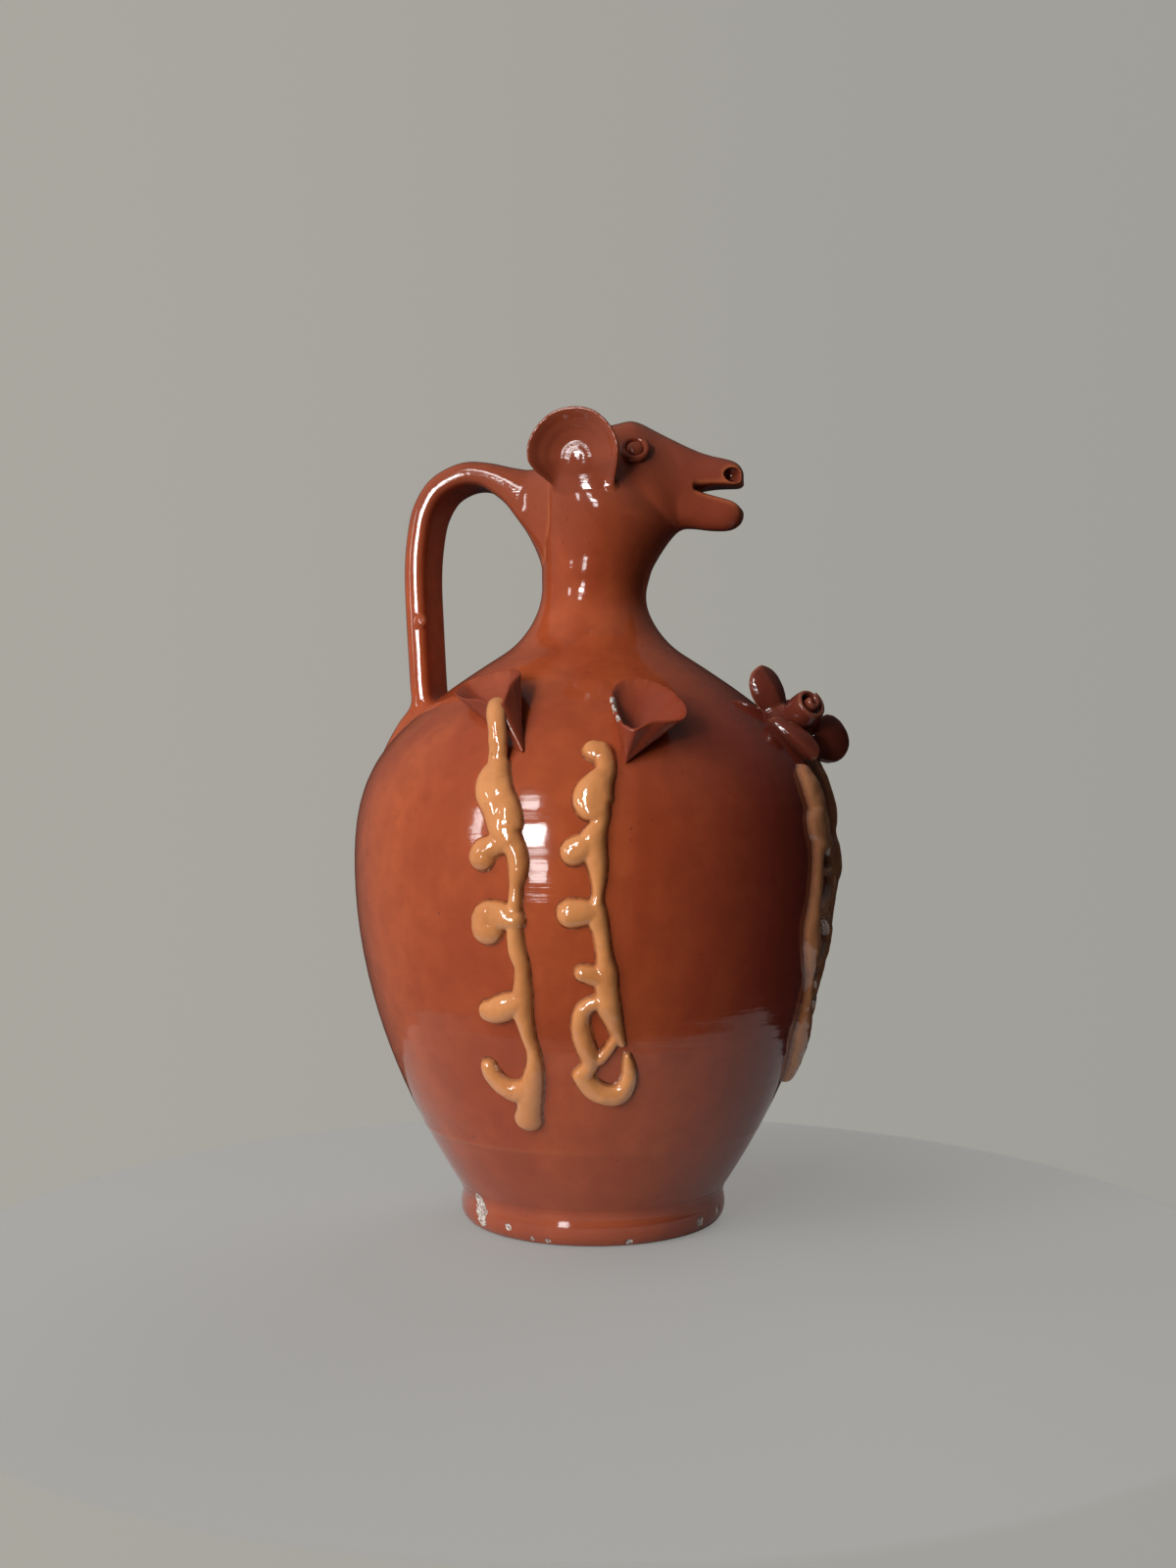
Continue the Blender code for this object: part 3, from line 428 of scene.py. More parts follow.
neck_outside = turned_rings(spaced(neck_line, 0.0003, 0.0011, near_start=True, near_end=True))
across, along, height = neck_outside[..., 1], neck_outside[..., 0], neck_outside[..., 2]
swell = throat(height, np.arctan2(across, along)) / np.hypot(along, across)
neck_outside[..., :2] *= 1 + swell[..., None]
neck_inside = turned_rings(inward(neck_line[::80] + neck_line[-1:], wall_thickness)[::-1], marks=False)
neck_skin = ring_mesh("neck", np.concatenate([neck_outside, neck_inside]), wrap=True)
piece_of("thrown_neck", neck_skin, "redware", "neck")


# Head. A hollow skull pinched and paddled from one lump over the neck, with a long muzzle that is
# slit for the mouth. The nostrils are pressed in with a round stick, and a bore pours the drink.

def turns_round(count):
    return [2 * math.pi * i / count for i in range(count)]


def head_ring(sizes):
    """A slice of the head, from its back point to its front point, both in side view."""
    back_x, back_z, front_x, front_z, half_width = sizes
    back = Vector((back_x, 0.0, head_z + back_z))
    front = Vector((front_x, 0.0, head_z + front_z))
    middle, along = (back + front) / 2, (front - back) / 2
    return [middle + along * math.cos(turn) + Vector((0.0, half_width, 0.0)) * math.sin(turn)
            for turn in turns_round(72)]


# Each slice: its back point and its front point (ahead, above the head's base), its half width
head_slices = []
for below in (0.012, 0.008, 0.004, 0.0):
    back, height = wall_radius(head_z - below), head_z - below
    front, cheek = (back + float(throat(height, turn)) for turn in (0.0, math.pi / 2))
    head_slices.append((-back, -below, front, -below, cheek))
head_slices += [
    (-0.0194, 0.0056, 0.0226, 0.0053, 0.0214),
    (-0.0198, 0.0115, 0.0252, 0.0103, 0.0226),
    (-0.0200, 0.0185, 0.0280, 0.0145, 0.0239),
    (-0.0199, 0.0260, 0.0300, 0.0171, 0.0253),
    (-0.0185, 0.0400, 0.0313, 0.0184, 0.0266),
    (-0.0125, 0.0525, 0.0324, 0.0191, 0.0240),
    (-0.0020, 0.0593, 0.0333, 0.0195, 0.0198),
    (0.0080, 0.0604, 0.0341, 0.0198, 0.0184),
    (0.0150, 0.0616, 0.0348, 0.0200, 0.0170),
    (0.0195, 0.0603, 0.0353, 0.0201, 0.0157),
    (0.0240, 0.0578, 0.0358, 0.0202, 0.0143),
    (0.0300, 0.0545, 0.0363, 0.0202, 0.0125),
    (0.0362, 0.0512, 0.0372, 0.0201, 0.0108),
    (0.0405, 0.0492, 0.0405, 0.0198, 0.0097),
]
skull = ring_mesh("skull", [head_ring(sizes) for sizes in smooth_path(head_slices, 5)])
mouth_z = head_z + 0.0343
# Each jaw: how far ahead, its flat side, its round side (above the head's base), its half width
upper_jaw_slices = [
    (0.0300, 0.0346, 0.0545, 0.0118), (0.0362, 0.0346, 0.0512, 0.0106), (0.0412, 0.0346, 0.0488, 0.0092),
    (0.0462, 0.0350, 0.0470, 0.0081), (0.0505, 0.0350, 0.0459, 0.0074), (0.0535, 0.0349, 0.0450, 0.0069),
    (0.0555, 0.0349, 0.0440, 0.0064), (0.0569, 0.0353, 0.0426, 0.0055), (0.0578, 0.0361, 0.0408, 0.0041),
]
lower_jaw_slices = [
    (0.0300, 0.0345, 0.0203, 0.0120), (0.0362, 0.0345, 0.0202, 0.0107), (0.0405, 0.0341, 0.0198, 0.0096),
    (0.0440, 0.0327, 0.0192, 0.0087), (0.0480, 0.0314, 0.0188, 0.0079), (0.0520, 0.0302, 0.0188, 0.0072),
    (0.0548, 0.0291, 0.0197, 0.0064), (0.0566, 0.0277, 0.0211, 0.0053), (0.0576, 0.0261, 0.0228, 0.0038),
]


def signed_power(value, power):
    return math.copysign(abs(value) ** power, value)


def jaw_mesh(name, slices):
    """Half of the muzzle: flat towards the mouth, with rounded lips, and round away from it."""
    rings = []
    for ahead, flat, round_side, half_width in smooth_path(slices, 5):
        ring = []
        for turn in turns_round(40):
            tall = math.sin(turn)
            share = abs(tall) ** (0.85 if tall > 0 else 0.6) * (0.86 if tall > 0 else -0.14)
            height = flat + (0.14 + share) * (round_side - flat)
            ring.append(Vector((ahead, half_width * signed_power(math.cos(turn), 0.85), head_z + height)))
        rings.append(ring)
    return ring_mesh(name, rings)


def pressed_in(name, centre, axis, radii):
    """The stick or thumb that pressed a hollow: an egg of the given radii, long along its axis."""
    mesh = bpy.data.meshes.new(name)
    bm = bmesh.new()
    bmesh.ops.create_uvsphere(bm, u_segments=28, v_segments=18, radius=1.0)
    turn = Vector(axis).to_track_quat("Z", "Y")
    for vert in bm.verts:
        vert.co = Vector(centre) + turn @ Vector([a * r for a, r in zip(vert.co, radii)])
    bm.to_mesh(mesh)
    bm.free()
    return mesh


def mouth_slit(half):
    """The wooden blade that slit the cheeks back from the mouth's corner."""
    rings = []
    for ahead, thick, deep in ((0.0372, 0.00030, 0.97), (0.0385, 0.00042, 0.90), (0.0410, 0.00048, 0.80),
                               (0.0440, 0.00055, 0.40), (0.0500, 0.00060, 0.20)):
        rings.append([Vector((ahead, y * half, mouth_z + z * thick))
                      for y, z in ((deep, -0.5), (1.5, -1), (1.5, 1), (deep, 0.5))])
    return ring_mesh("slit", rings)


def joined(name, meshes):
    """Several meshes as one."""
    bm = bmesh.new()
    for mesh in meshes:
        bm.from_mesh(mesh)
    bmesh.ops.recalc_face_normals(bm, faces=bm.faces)
    whole = bpy.data.meshes.new(name)
    bm.to_mesh(whole)
    bm.free()
    return whole


def neighbours(mesh):
    pairs = np.empty(len(mesh.edges) * 2, dtype=np.int32)
    mesh.edges.foreach_get("vertices", pairs)
    return pairs.reshape(-1, 2).T


def averaged(values, pairs):
    """Each point's value replaced by the mean of its neighbours'."""
    count = len(values)
    a, b = pairs
    ties = np.maximum(1, np.bincount(a, minlength=count) + np.bincount(b, minlength=count))
    columns = values.reshape(count, -1)
    totals = [np.bincount(a, column[b], count) + np.bincount(b, column[a], count) for column in columns.T]
    return (np.stack(totals, axis=1) / ties[:, None]).reshape(values.shape)


def move_points(mesh, points):
    mesh.vertices.foreach_set("co", points.ravel())
    mesh.update()


def soften(mesh, passes):
    points, pairs = coordinates(mesh), neighbours(mesh)
    for _ in range(passes):
        points += 0.5 * (averaged(points, pairs) - points)
    move_points(mesh, points)


coarse = 1.0


def modelled(name, lumps, grain, passes, pressed=()):
    """Lumps of clay worked into one skin, with hollows pressed in and edges softened by wet fingers."""
    used = []
    for label, meshes in [(name, lumps)] + [(f"{name}_tool_{i}", [mesh]) for i, mesh in enumerate(pressed)]:
        used.append(bpy.data.objects.new(label, joined(label, meshes)))
        bpy.context.scene.collection.objects.link(used[-1])
    shape = used[0]
    for tool in [None, *used[1:], *[None] * bool(pressed)]:
        if tool is None:
            modifier = shape.modifiers.new("worked", "REMESH")
            modifier.mode = "VOXEL"
            modifier.voxel_size = grain * coarse
        else:
            modifier = shape.modifiers.new("pressed", "BOOLEAN")
            modifier.operation = "DIFFERENCE"
            modifier.solver = "MANIFOLD"
            modifier.object = tool
    graph = bpy.context.evaluated_depsgraph_get()
    mesh = bpy.data.meshes.new_from_object(shape.evaluated_get(graph))
    for made in used:
        bpy.data.objects.remove(made, do_unlink=True)
    mesh.name = name
    mesh.materials.clear()
    soften(mesh, passes)
    return mesh


# The bore that pours: how far ahead, its half width, and how far its middle lies below the mouth's line
bore_rings = []
for ahead, half, below in ((0.0200, 0.0030, 0.0028), (0.0400, 0.0030, 0.0028), (0.0500, 0.0031, 0.0034),
                           (0.0640, 0.0034, 0.0048)):
    bore_rings.append([Vector((ahead, half * math.cos(turn), mouth_z - below + half * math.sin(turn)))
                       for turn in turns_round(24)])
nostrils = [pressed_in(f"nostril_{side}", (0.0560, side * 0.0064, head_z + 0.0386),
                       (-0.62, -0.76 * side, 0.12), (0.0037, 0.0029, 0.0068)) for side in (-1, 1)]
slits = [mouth_slit(side * 0.0104) for side in (-1, 1)]
head_skin = modelled(
    "head", [skull, jaw_mesh("upper", upper_jaw_slices), jaw_mesh("lower", lower_jaw_slices)],
    0.0004, 8, [*slits, ring_mesh("bore", bore_rings), *nostrils])


def ease(value, low, high):
    """0 at low, 1 at high, a smooth step between them and level beyond them."""
    share = np.clip((value - low) / (high - low), 0.0, 1.0)
    return share * share * (3 - 2 * share)


def settle_on_neck(mesh):
    """The head's base takes the neck's exact round where the two meet."""
    points = coordinates(mesh)
    height, turn = points[:, 2], np.arctan2(points[:, 1], points[:, 0])
    neck_radius = wheel_marks(np.interp(height, wall_line[:, 1], wall_line[:, 0]), height, turn)
    neck_radius += throat(np.minimum(height, head_z), turn) * (1 + 160 * np.clip(height - head_z, 0.0, None))
    radius = np.hypot(points[:, 0], points[:, 1])
    share = ease(height, head_z + 0.0095, head_z + 0.0005) * (radius > 0.015)
    points[:, :2] *= ((radius + share * (neck_radius - radius)) / np.maximum(radius, 1e-6))[:, None]
    move_points(mesh, points)


settle_on_neck(head_skin)


def facings(mesh):
    normals = np.empty(len(mesh.vertices) * 3)
    mesh.vertex_normals.foreach_get("vector", normals)
    return normals.reshape(-1, 3)


def parted(name, mesh, *cuts):
    """The part of a skin on the far side of each cut, a place and a direction, closed where it was cut."""
    bm = bmesh.new()
    bm.from_mesh(mesh)
    for place, direction in cuts:
        made = bmesh.ops.bisect_plane(bm, geom=bm.verts[:] + bm.edges[:] + bm.faces[:], dist=1e-7,
                                      plane_co=place, plane_no=direction, clear_inner=True)
        rim = [item for item in made["geom_cut"] if isinstance(item, bmesh.types.BMEdge)]
        bmesh.ops.holes_fill(bm, edges=[edge for edge in rim if edge.is_boundary], sides=0)
    part = bpy.data.meshes.new(name)
    bm.to_mesh(part)
    bm.free()
    return part


def use_kept_normals(piece):
    """Gives a part the normals noted on the whole skin, so that the parts meet without a line."""
    kept = np.empty(len(piece.data.vertices) * 3)
    piece.data.attributes["whole_normal"].data.foreach_get("vector", kept)
    kept = kept.reshape(-1, 3)
    kept /= np.maximum(np.linalg.norm(kept, axis=1), 1e-9)[:, None]
    piece.data.normals_split_custom_set_from_vertices(kept.tolist())
    piece.data.attributes.remove(piece.data.attributes["whole_normal"])


def mark_crests(mesh, reach, full):
    """Notes where a skin stands out (above 0) or lies hollow (below 0), for the glaze to break on, and for
    painted shade in the hollows.
    """
    points, pairs = coordinates(mesh), neighbours(mesh)
    level = points.copy()
    for _ in range(reach):
        level = averaged(level, pairs)
    crest = np.sum((points - level) * facings(mesh), axis=1) / full
    for _ in range(2):
        crest = averaged(crest, pairs)
    note(mesh, "crest", np.clip(crest, -1.0, 1.0))


mark_crests(head_skin, 18, 0.00050)
whole_normal = head_skin.attributes.new("whole_normal", "FLOAT_VECTOR", "POINT")
whole_normal.data.foreach_set("vector", facings(head_skin).ravel())
forward, above = Vector((1.0, 0.0, 0.0)), Vector((0.0, 0.0, 1.0))
jaw_root, mouth_line, head_base = forward * 0.0363, above * mouth_z, above * head_z
for name, part, cuts in (
    ("pinched_head", "head", [(head_base, above), (jaw_root, -forward)]),
    ("upper_muzzle", "upper_jaw", [(jaw_root, forward), (mouth_line, above)]),
    ("lower_lip", "lower_jaw", [(jaw_root, forward), (mouth_line, -above)]),
):
    use_kept_normals(piece_of(name, parted(name, head_skin, *cuts), "redware", part))


# Ears. Two dished discs of clay, each luted by its lower back to the side of the head, where its
# foot is smeared out with a wet finger.

def skin_tree(*meshes):
    """The skins that a piece is pressed on, for finding the nearest place on them."""
    places, faces = [], []
    for mesh in meshes:
        start = len(places)
        places += [vert.co.copy() for vert in mesh.vertices]
        faces += [[start + corner for corner in face.vertices] for face in mesh.polygons]
    return BVHTree.FromPolygons(places, faces)


outside_skin = ring_mesh("outside", np.concatenate([wall_outside, neck_outside[1:]]))
wall_tree = skin_tree(outside_skin)
jug_tree = skin_tree(outside_skin, head_skin)


def lute(mesh, tree, spread):
    """Smears the clay round a piece's foot out over what carries it, in a hollow curve."""
    points = coordinates(mesh)
    for i, facing in enumerate(facings(mesh)):
        point, facing = Vector(points[i]), Vector(facing)
        place, normal, _, _ = tree.find_nearest(point)
        height = (point - place).dot(normal)
        reach = spread(point) if callable(spread) else spread
        if height >= reach:
            continue
        aside = facing - facing.dot(normal) * normal
        if aside.length < 0.05:
            continue
        aside *= min(1.0, 1.6 * aside.length) / aside.length
        share = max(0.0, height) / reach
        moved = point + aside * reach * (1 - math.sqrt(1 - (1 - share) ** 2))
        place, normal, _, _ = tree.find_nearest(moved)
        points[i] = place + normal * height
    move_points(mesh, points)


head_tree = skin_tree(head_skin)


def ear_shape(side):
    """A thumbed dish, deep above and running out flat below, where it is smeared into the cheek."""
    wall, tilt = 0.0028, math.radians(7.5)
    centre = Vector((0.0008, side * 0.0272, head_z + 0.0434))
    inner = [(share, 0.0) for share in np.linspace(0.02, 0.96, 30)]
    rim = [(1.0, 0.0002), (1.028, 0.0008), (1.034, 0.0017)]
    outer = [(share, wall * (1.6 - share)) for share in (1.0, 0.9, 0.75, 0.55, 0.3, 0.02)]
    rings = []
    for share, back in inner + rim + outer:
        ring = []
        for turn in turns_round(96):
            upper = math.sin(turn)
            low = ease(upper, 0.15, -0.95)
            out = 0.0076 * (1 - 0.95 * low) * min(share, 1.0) ** 2.1 - back * (1 - 0.4 * low)
            out += 0.0011 * max(0.0, 1 - (share / 0.50) ** 2) ** 2
            out += 0.00009 * math.sin(2 * math.pi * share / 0.21) * (1 - 0.6 * low) * (share < 0.97)
            worn = 1 + 0.010 * math.sin(3 * turn + side) + 0.006 * math.sin(7 * turn)
            x, up = share * worn * 0.0167 * math.cos(turn), share * worn * 0.01765 * upper
            x *= 1 + 0.10 * max(0.0, upper) * (1 - max(0.0, upper))
            point = centre + Vector((x, side * (out * math.cos(tilt) + up * math.sin(tilt)),
                                     up * math.cos(tilt) - out * math.sin(tilt)))
            smeared = float(ease(upper, -0.05, -0.65) * ease(share, 0.30, 0.92))
            place, normal, _, _ = head_tree.find_nearest(point)
            flush = place + normal * (0.0005 - 0.0011 * min(share, 1.0) - 1.2 * back)
            ring.append(point.lerp(flush, smeared))
        rings.append(ring)
    return ring_mesh("ear", rings)


for side, name in ((-1, "right"), (1, "left")):
    skin = modelled(f"ear_{name}", [ear_shape(side)], 0.0004, 6)
    lute(skin, head_tree, 0.0032)
    soften(skin, 4)
    mark_crests(skin, 14, 0.0015)
    piece_of(f"ear_disc_{name}", skin, "redware", f"ear_{name}")


# Eyes. On each cheek a thin roll of clay is closed to a ring and a pellet is pressed into it. The foot
# of both is smeared out a little over the cheek.

def eye_rings(side, radius_of):
    centre = Vector((0.0203, side * 0.0180, head_z + 0.0474))
    turn = Vector((0.22, side * 0.89, 0.41)).to_track_quat("Z", "Y")
    rings = []
    for angle in turns_round(56):
        rings.append([centre + turn @ Vector((r * math.cos(angle), r * math.sin(angle), out))
                      for r, out in radius_of(angle)])
    return rings


def rolled_ring(angle):
    thick = 0.00125 + 0.00010 * math.sin(2 * angle) + 0.00006 * math.sin(5 * angle)
    return [(0.0044 + thick * math.cos(k), 0.0002 + 1.05 * thick * math.sin(k))
            for k in turns_round(20)]


for side, name in ((-1, "right"), (1, "left")):
    roll = ring_mesh("eye_ring", eye_rings(side, rolled_ring), wrap=True)
    lute(roll, head_tree, 0.0009)
    mark_crests(roll, 6, 0.00045)
    piece_of(f"eye_roll_{name}", roll, "redware", f"eye_ring_{name}")
    dome = [(0.0033 * math.sin(k), -0.0002 + 0.0023 * math.cos(k)) for k in np.linspace(0.05, 3.0, 18)]
    pellet = ring_mesh("pellet", np.array(eye_rings(side, lambda _: dome)).transpose(1, 0, 2))
    lute(pellet, head_tree, 0.0004)
    mark_crests(pellet, 6, 0.00060)
    piece_of(f"eye_bead_{name}", pellet, "redware", f"eye_pellet_{name}")


# Handle. One strap pulled from a lump of clay, luted to the back of the head and thumbed down on
# the shoulder. Its inner face is flat with crisp corners, and its outer face is round.

def strap_ring(out, height, thickness, along):
    inwards = Vector((-along[1], 0.0, along[0]))
    middle = Vector((-out, 0.0, height)) + inwards * thickness / 2
    ring = []
    for turn in turns_round(84):
        c, s = math.cos(turn), math.sin(turn)
        if s > 0:
            across = (0.01185 + 0.0009 * (1 - min(1.0, s / 0.85))) * signed_power(c, 0.34)
            deep = thickness / 2 * signed_power(s, 0.34)
        else:
            across = 0.01275 * signed_power(c, 0.72)
            deep = thickness / 2 * signed_power(s, 0.80)
        ring.append(middle + Vector((0.0, across, 0.0)) + inwards * deep)
    return ring


# The strap's outer face: how far behind the jug's middle and how high, and the strap's thickness there
strap_stations = [
    (0.0138, head_z + 0.0430, 0.0310), (0.0231, head_z + 0.0443, 0.0215), (0.0308, head_z + 0.0457, 0.0138),
    (0.0399, head_z + 0.0478, 0.0102), (0.0492, head_z + 0.0484, 0.0098), (0.0584, head_z + 0.0453, 0.0096),
    (0.0653, head_z + 0.0400, 0.0098), (0.0706, head_z + 0.0307, 0.0100), (0.0730, head_z + 0.0190, 0.0100),
    (0.0739, head_z + 0.0048, 0.0100), (0.0731, seam_z + 0.0124, 0.0100), (0.0717, seam_z - 0.0098, 0.0098),
]
# Its lower end: how far down the shoulder, as a share of the belly's upper curve, and how proud of the wall
shoulder_height = 0.0768
for drop, proud in ((0.234, 0.0105), (0.319, 0.0074), (0.423, 0.0044), (0.521, 0.0020), (0.612, -0.0012)):
    height = seam_z - drop * shoulder_height
    strap_stations.append((wall_radius(height) + proud, height, 0.0100))
strap_route = smooth_path(strap_stations, 6)
strap_rings = []
for i, (out, height, thickness) in enumerate(strap_route):
    before, after = strap_route[max(i - 1, 0)], strap_route[min(i + 1, len(strap_route) - 1)]
    along = Vector((before[0] - after[0], after[1] - before[1])).normalized()
    strap_rings.append(strap_ring(out, height, thickness, along))
spatter = pressed_in("spatter", (-0.0648, -0.0122, 0.2266), (0.2, -1.0, 0.0), (0.0022, 0.0026, 0.0016))
pin_hole = pressed_in("pin_hole", (-0.0645, -0.0140, 0.2268), (0.2, -1.0, 0.0), (0.0008, 0.0009, 0.0012))
strap = modelled("handle", [ring_mesh("strap", strap_rings), spatter], 0.00045, 3, [pin_hole])
lute(strap, jug_tree, lambda point: 0.0085 if point.z > head_z - 0.01 else 0.0048)
soften(strap, 5)
mark_crests(strap, 14, 0.0012)
piece_of("pulled_handle", strap, "redware", "handle")


# Leaves. Four slabs curled into pointed cups, two on each side of the shoulder. The point is pressed
# on the wall and the torn rim stands open.

def on_wall(angle, height, lift=0.0):
    step = 0.0005
    slope = (wall_radius(height + step) - wall_radius(height - step)) / (2 * step)
    turn = math.radians(angle)
    normal = Vector((math.cos(turn), math.sin(turn), -slope)).normalized()
    radius = wall_radius(height)
    return Vector((radius * math.cos(turn), radius * math.sin(turn), height)) + lift * normal


def wall_frame(angle, height):
    """A place on the wall, with its sideways, upwards and outwards directions."""
    place = on_wall(angle, height)
    outward = (on_wall(angle, height, 0.01) - place).normalized()
    sideways = Vector((-math.sin(math.radians(angle)), math.cos(math.radians(angle)), 0.0))
    return place, sideways, outward.cross(sideways), outward


# A leaf's rim, then its point: degrees from the front, millimetres above the foot and off the wall
back_leaf = ([
    (-121.1, 190.9, 6.0), (-127.2, 197.1, 3.6), (-124.8, 199.6, 3.2), (-118.9, 201.1, 3.2),
    (-111.9, 201.1, 4.0), (-105.7, 200.0, 5.5), (-98.5, 195.7, 9.0), (-98.0, 191.9, 10.5),
    (-98.2, 188.7, 11.0), (-98.3, 186.1, 11.0), (-98.4, 183.9, 10.5), (-100.1, 183.1, 10.0),
    (-103.5, 184.7, 9.5), (-107.0, 186.3, 8.8), (-110.5, 187.2, 8.0), (-114.5, 188.1, 7.0),
], (-92.7, 173.8, 0.6))
side_leaf = ([
    (-71.7, 189.5, 5.0), (-70.4, 194.2, 3.6), (-67.8, 196.9, 3.2), (-63.9, 198.1, 3.2),
    (-59.1, 197.9, 3.6), (-55.0, 195.6, 4.6), (-52.9, 191.2, 6.5), (-52.7, 186.6, 8.5),
    (-53.3, 182.1, 10.5), (-55.7, 178.3, 12.0), (-59.5, 177.1, 12.5), (-63.3, 176.9, 12.5),
    (-65.7, 175.9, 12.0), (-67.3, 175.2, 11.5), (-69.2, 176.6, 10.5), (-70.5, 179.6, 9.0),
    (-71.4, 184.2, 7.0),
], (-69.0, 170.0, 0.6))


def curled_leaf(side, leaf):
    rim_places, (angle, height, off) = leaf
    tip = on_wall(side * angle, height / 1000, off / 1000)
    rim = [on_wall(side * turn, up / 1000, out / 1000) for turn, up, out in rim_places]
    rim = [Vector(p) for p in smooth_path([rim[-1], *rim, *rim[:2]], 8)[8:-17]]
    middle = sum(rim, Vector()) / len(rim)

    def ring(share, wall):
        found = []
        for p in rim:
            spoke = (p - middle) * (1 - max(share, 0.0)) ** 1.05
            torn = 0.022 * (noise.noise(p / 0.0022) + 0.6 * noise.noise(p / 0.0009)) if share < 0.05 else 0.0
            found.append(middle.lerp(tip, share + torn) + spoke * max(0.10, 1 - wall / spoke.length))
        return found

    inner = [ring(share, 0.0017 + 0.0012 * share)
             for share in (0.72, 0.66, 0.58, 0.5, 0.4, 0.3, 0.2, 0.1, 0.04)]
    lip = [ring(0.0, 0.0012), ring(-0.012, 0.0006)]
    outer = [ring(share, 0.0) for share in (0.01, 0.04, 0.1, 0.2, 0.3, 0.4, 0.5, 0.6, 0.7, 0.8, 0.9, 0.97)]
    return ring_mesh("leaf", inner + lip + outer)


# The flower's glaze: a darker red, darkened further as painted shade, since the flower stands on the side
# turned from the light.
glazes["dark_redware"] = glazed(
    "dark_shaded_glazed_redware", (0.095, 0.019, 0.011), (0.145, 0.032, 0.017), (0.24, 0.07, 0.04), 0.085,
    ripple=0.2, side_shade=0.1)
leaf_knocks = [(tuple(on_wall(angle, height, lift)), size) for angle, height, lift, size in (
    (-71.0, 0.1845, 0.0068, 0.0025), (-70.6, 0.1885, 0.0050, 0.0023), (-70.0, 0.1805, 0.0085, 0.0018))]
glazes["leaf"] = glazed(
    "glazed_leaf", (0.215, 0.034, 0.013), (0.300, 0.056, 0.020), (0.30, 0.068, 0.026), 0.30,
    leaf_knocks, ripple=0.2)
for side, name in ((1, "right"), (-1, "left")):
    for place, leaf in (("back", back_leaf), ("side", side_leaf)):
        skin = modelled("leaf", [curled_leaf(side, leaf)], 0.00036, 3)
        lute(skin, wall_tree, 0.0018)
        soften(skin, 2)
        mark_crests(skin, 8, 0.0009)
        piece_of(f"curled_leaf_{place}_{name}", skin, "dark_redware", f"leaf_{place}_{name}", glaze="leaf")


# Strands. Thick ochre slip trailed down the wall from a horn, in a wandering line with knobs, hooks
# and loops beside it. Its crown fired pale and its edges ran thin and dark.

# Each run of slip: degrees from the front, millimetres above the foot, half its width in millimetres and,
# where it hangs clear of the wall, how far in millimetres
back_strand = [
    [(-101.0, 184.9, 3.3, 7.6), (-100.2, 182.7, 3.4, 7.8), (-99.4, 180.2, 3.1, 7.2), (-98.8, 177.8, 3.0, 5.8),
     (-98.6, 175.6, 3.1, 4.2), (-98.5, 173.8, 3.1, 2.7), (-98.6, 171.9, 3.2, 1.2), (-98.4, 169.9, 3.9),
     (-98.8, 166.2, 5.8), (-98.7, 162.4, 6.4), (-97.5, 158.7, 6.2), (-96.1, 155.0, 6.3), (-95.2, 150.7, 6.1),
     (-94.7, 147.0, 5.3), (-93.5, 144.5, 3.8), (-92.5, 141.5, 3.4), (-92.0, 137.8, 3.2), (-92.2, 133.5, 2.7),
     (-92.5, 130.5, 2.0), (-92.7, 125.5, 2.1), (-93.0, 119.3, 2.2), (-93.0, 113.1, 2.6), (-92.6, 108.1, 2.7),
     (-91.8, 103.7, 2.4), (-91.8, 99.3, 2.5), (-92.0, 94.8, 3.1), (-92.3, 89.0, 3.2), (-91.9, 83.9, 2.7),
     (-91.3, 78.7, 2.2), (-90.6, 74.8, 2.1), (-90.5, 70.8, 2.4), (-90.9, 66.8, 3.1), (-91.9, 62.0, 3.9),
     (-92.9, 57.1, 4.2), (-93.5, 53.3, 4.2), (-94.2, 49.9, 4.9)],
    [(-93.1, 144.6, 3.1), (-96.4, 143.9, 3.2), (-99.6, 141.9, 4.1), (-100.2, 139.8, 4.6)],
    [(-93.2, 119.3, 3.7), (-96.5, 120.4, 4.6), (-99.2, 119.6, 5.2), (-99.3, 116.2, 5.6)],
    [(-92.6, 91.6, 3.5), (-95.8, 89.8, 4.4), (-98.9, 87.9, 4.3), (-100.5, 87.8, 3.6)],
    [(-92.2, 61.3, 3.8), (-96.2, 59.6, 3.8), (-99.9, 61.6, 3.4), (-102.2, 65.1, 3.1), (-103.0, 68.0, 2.8)],
]
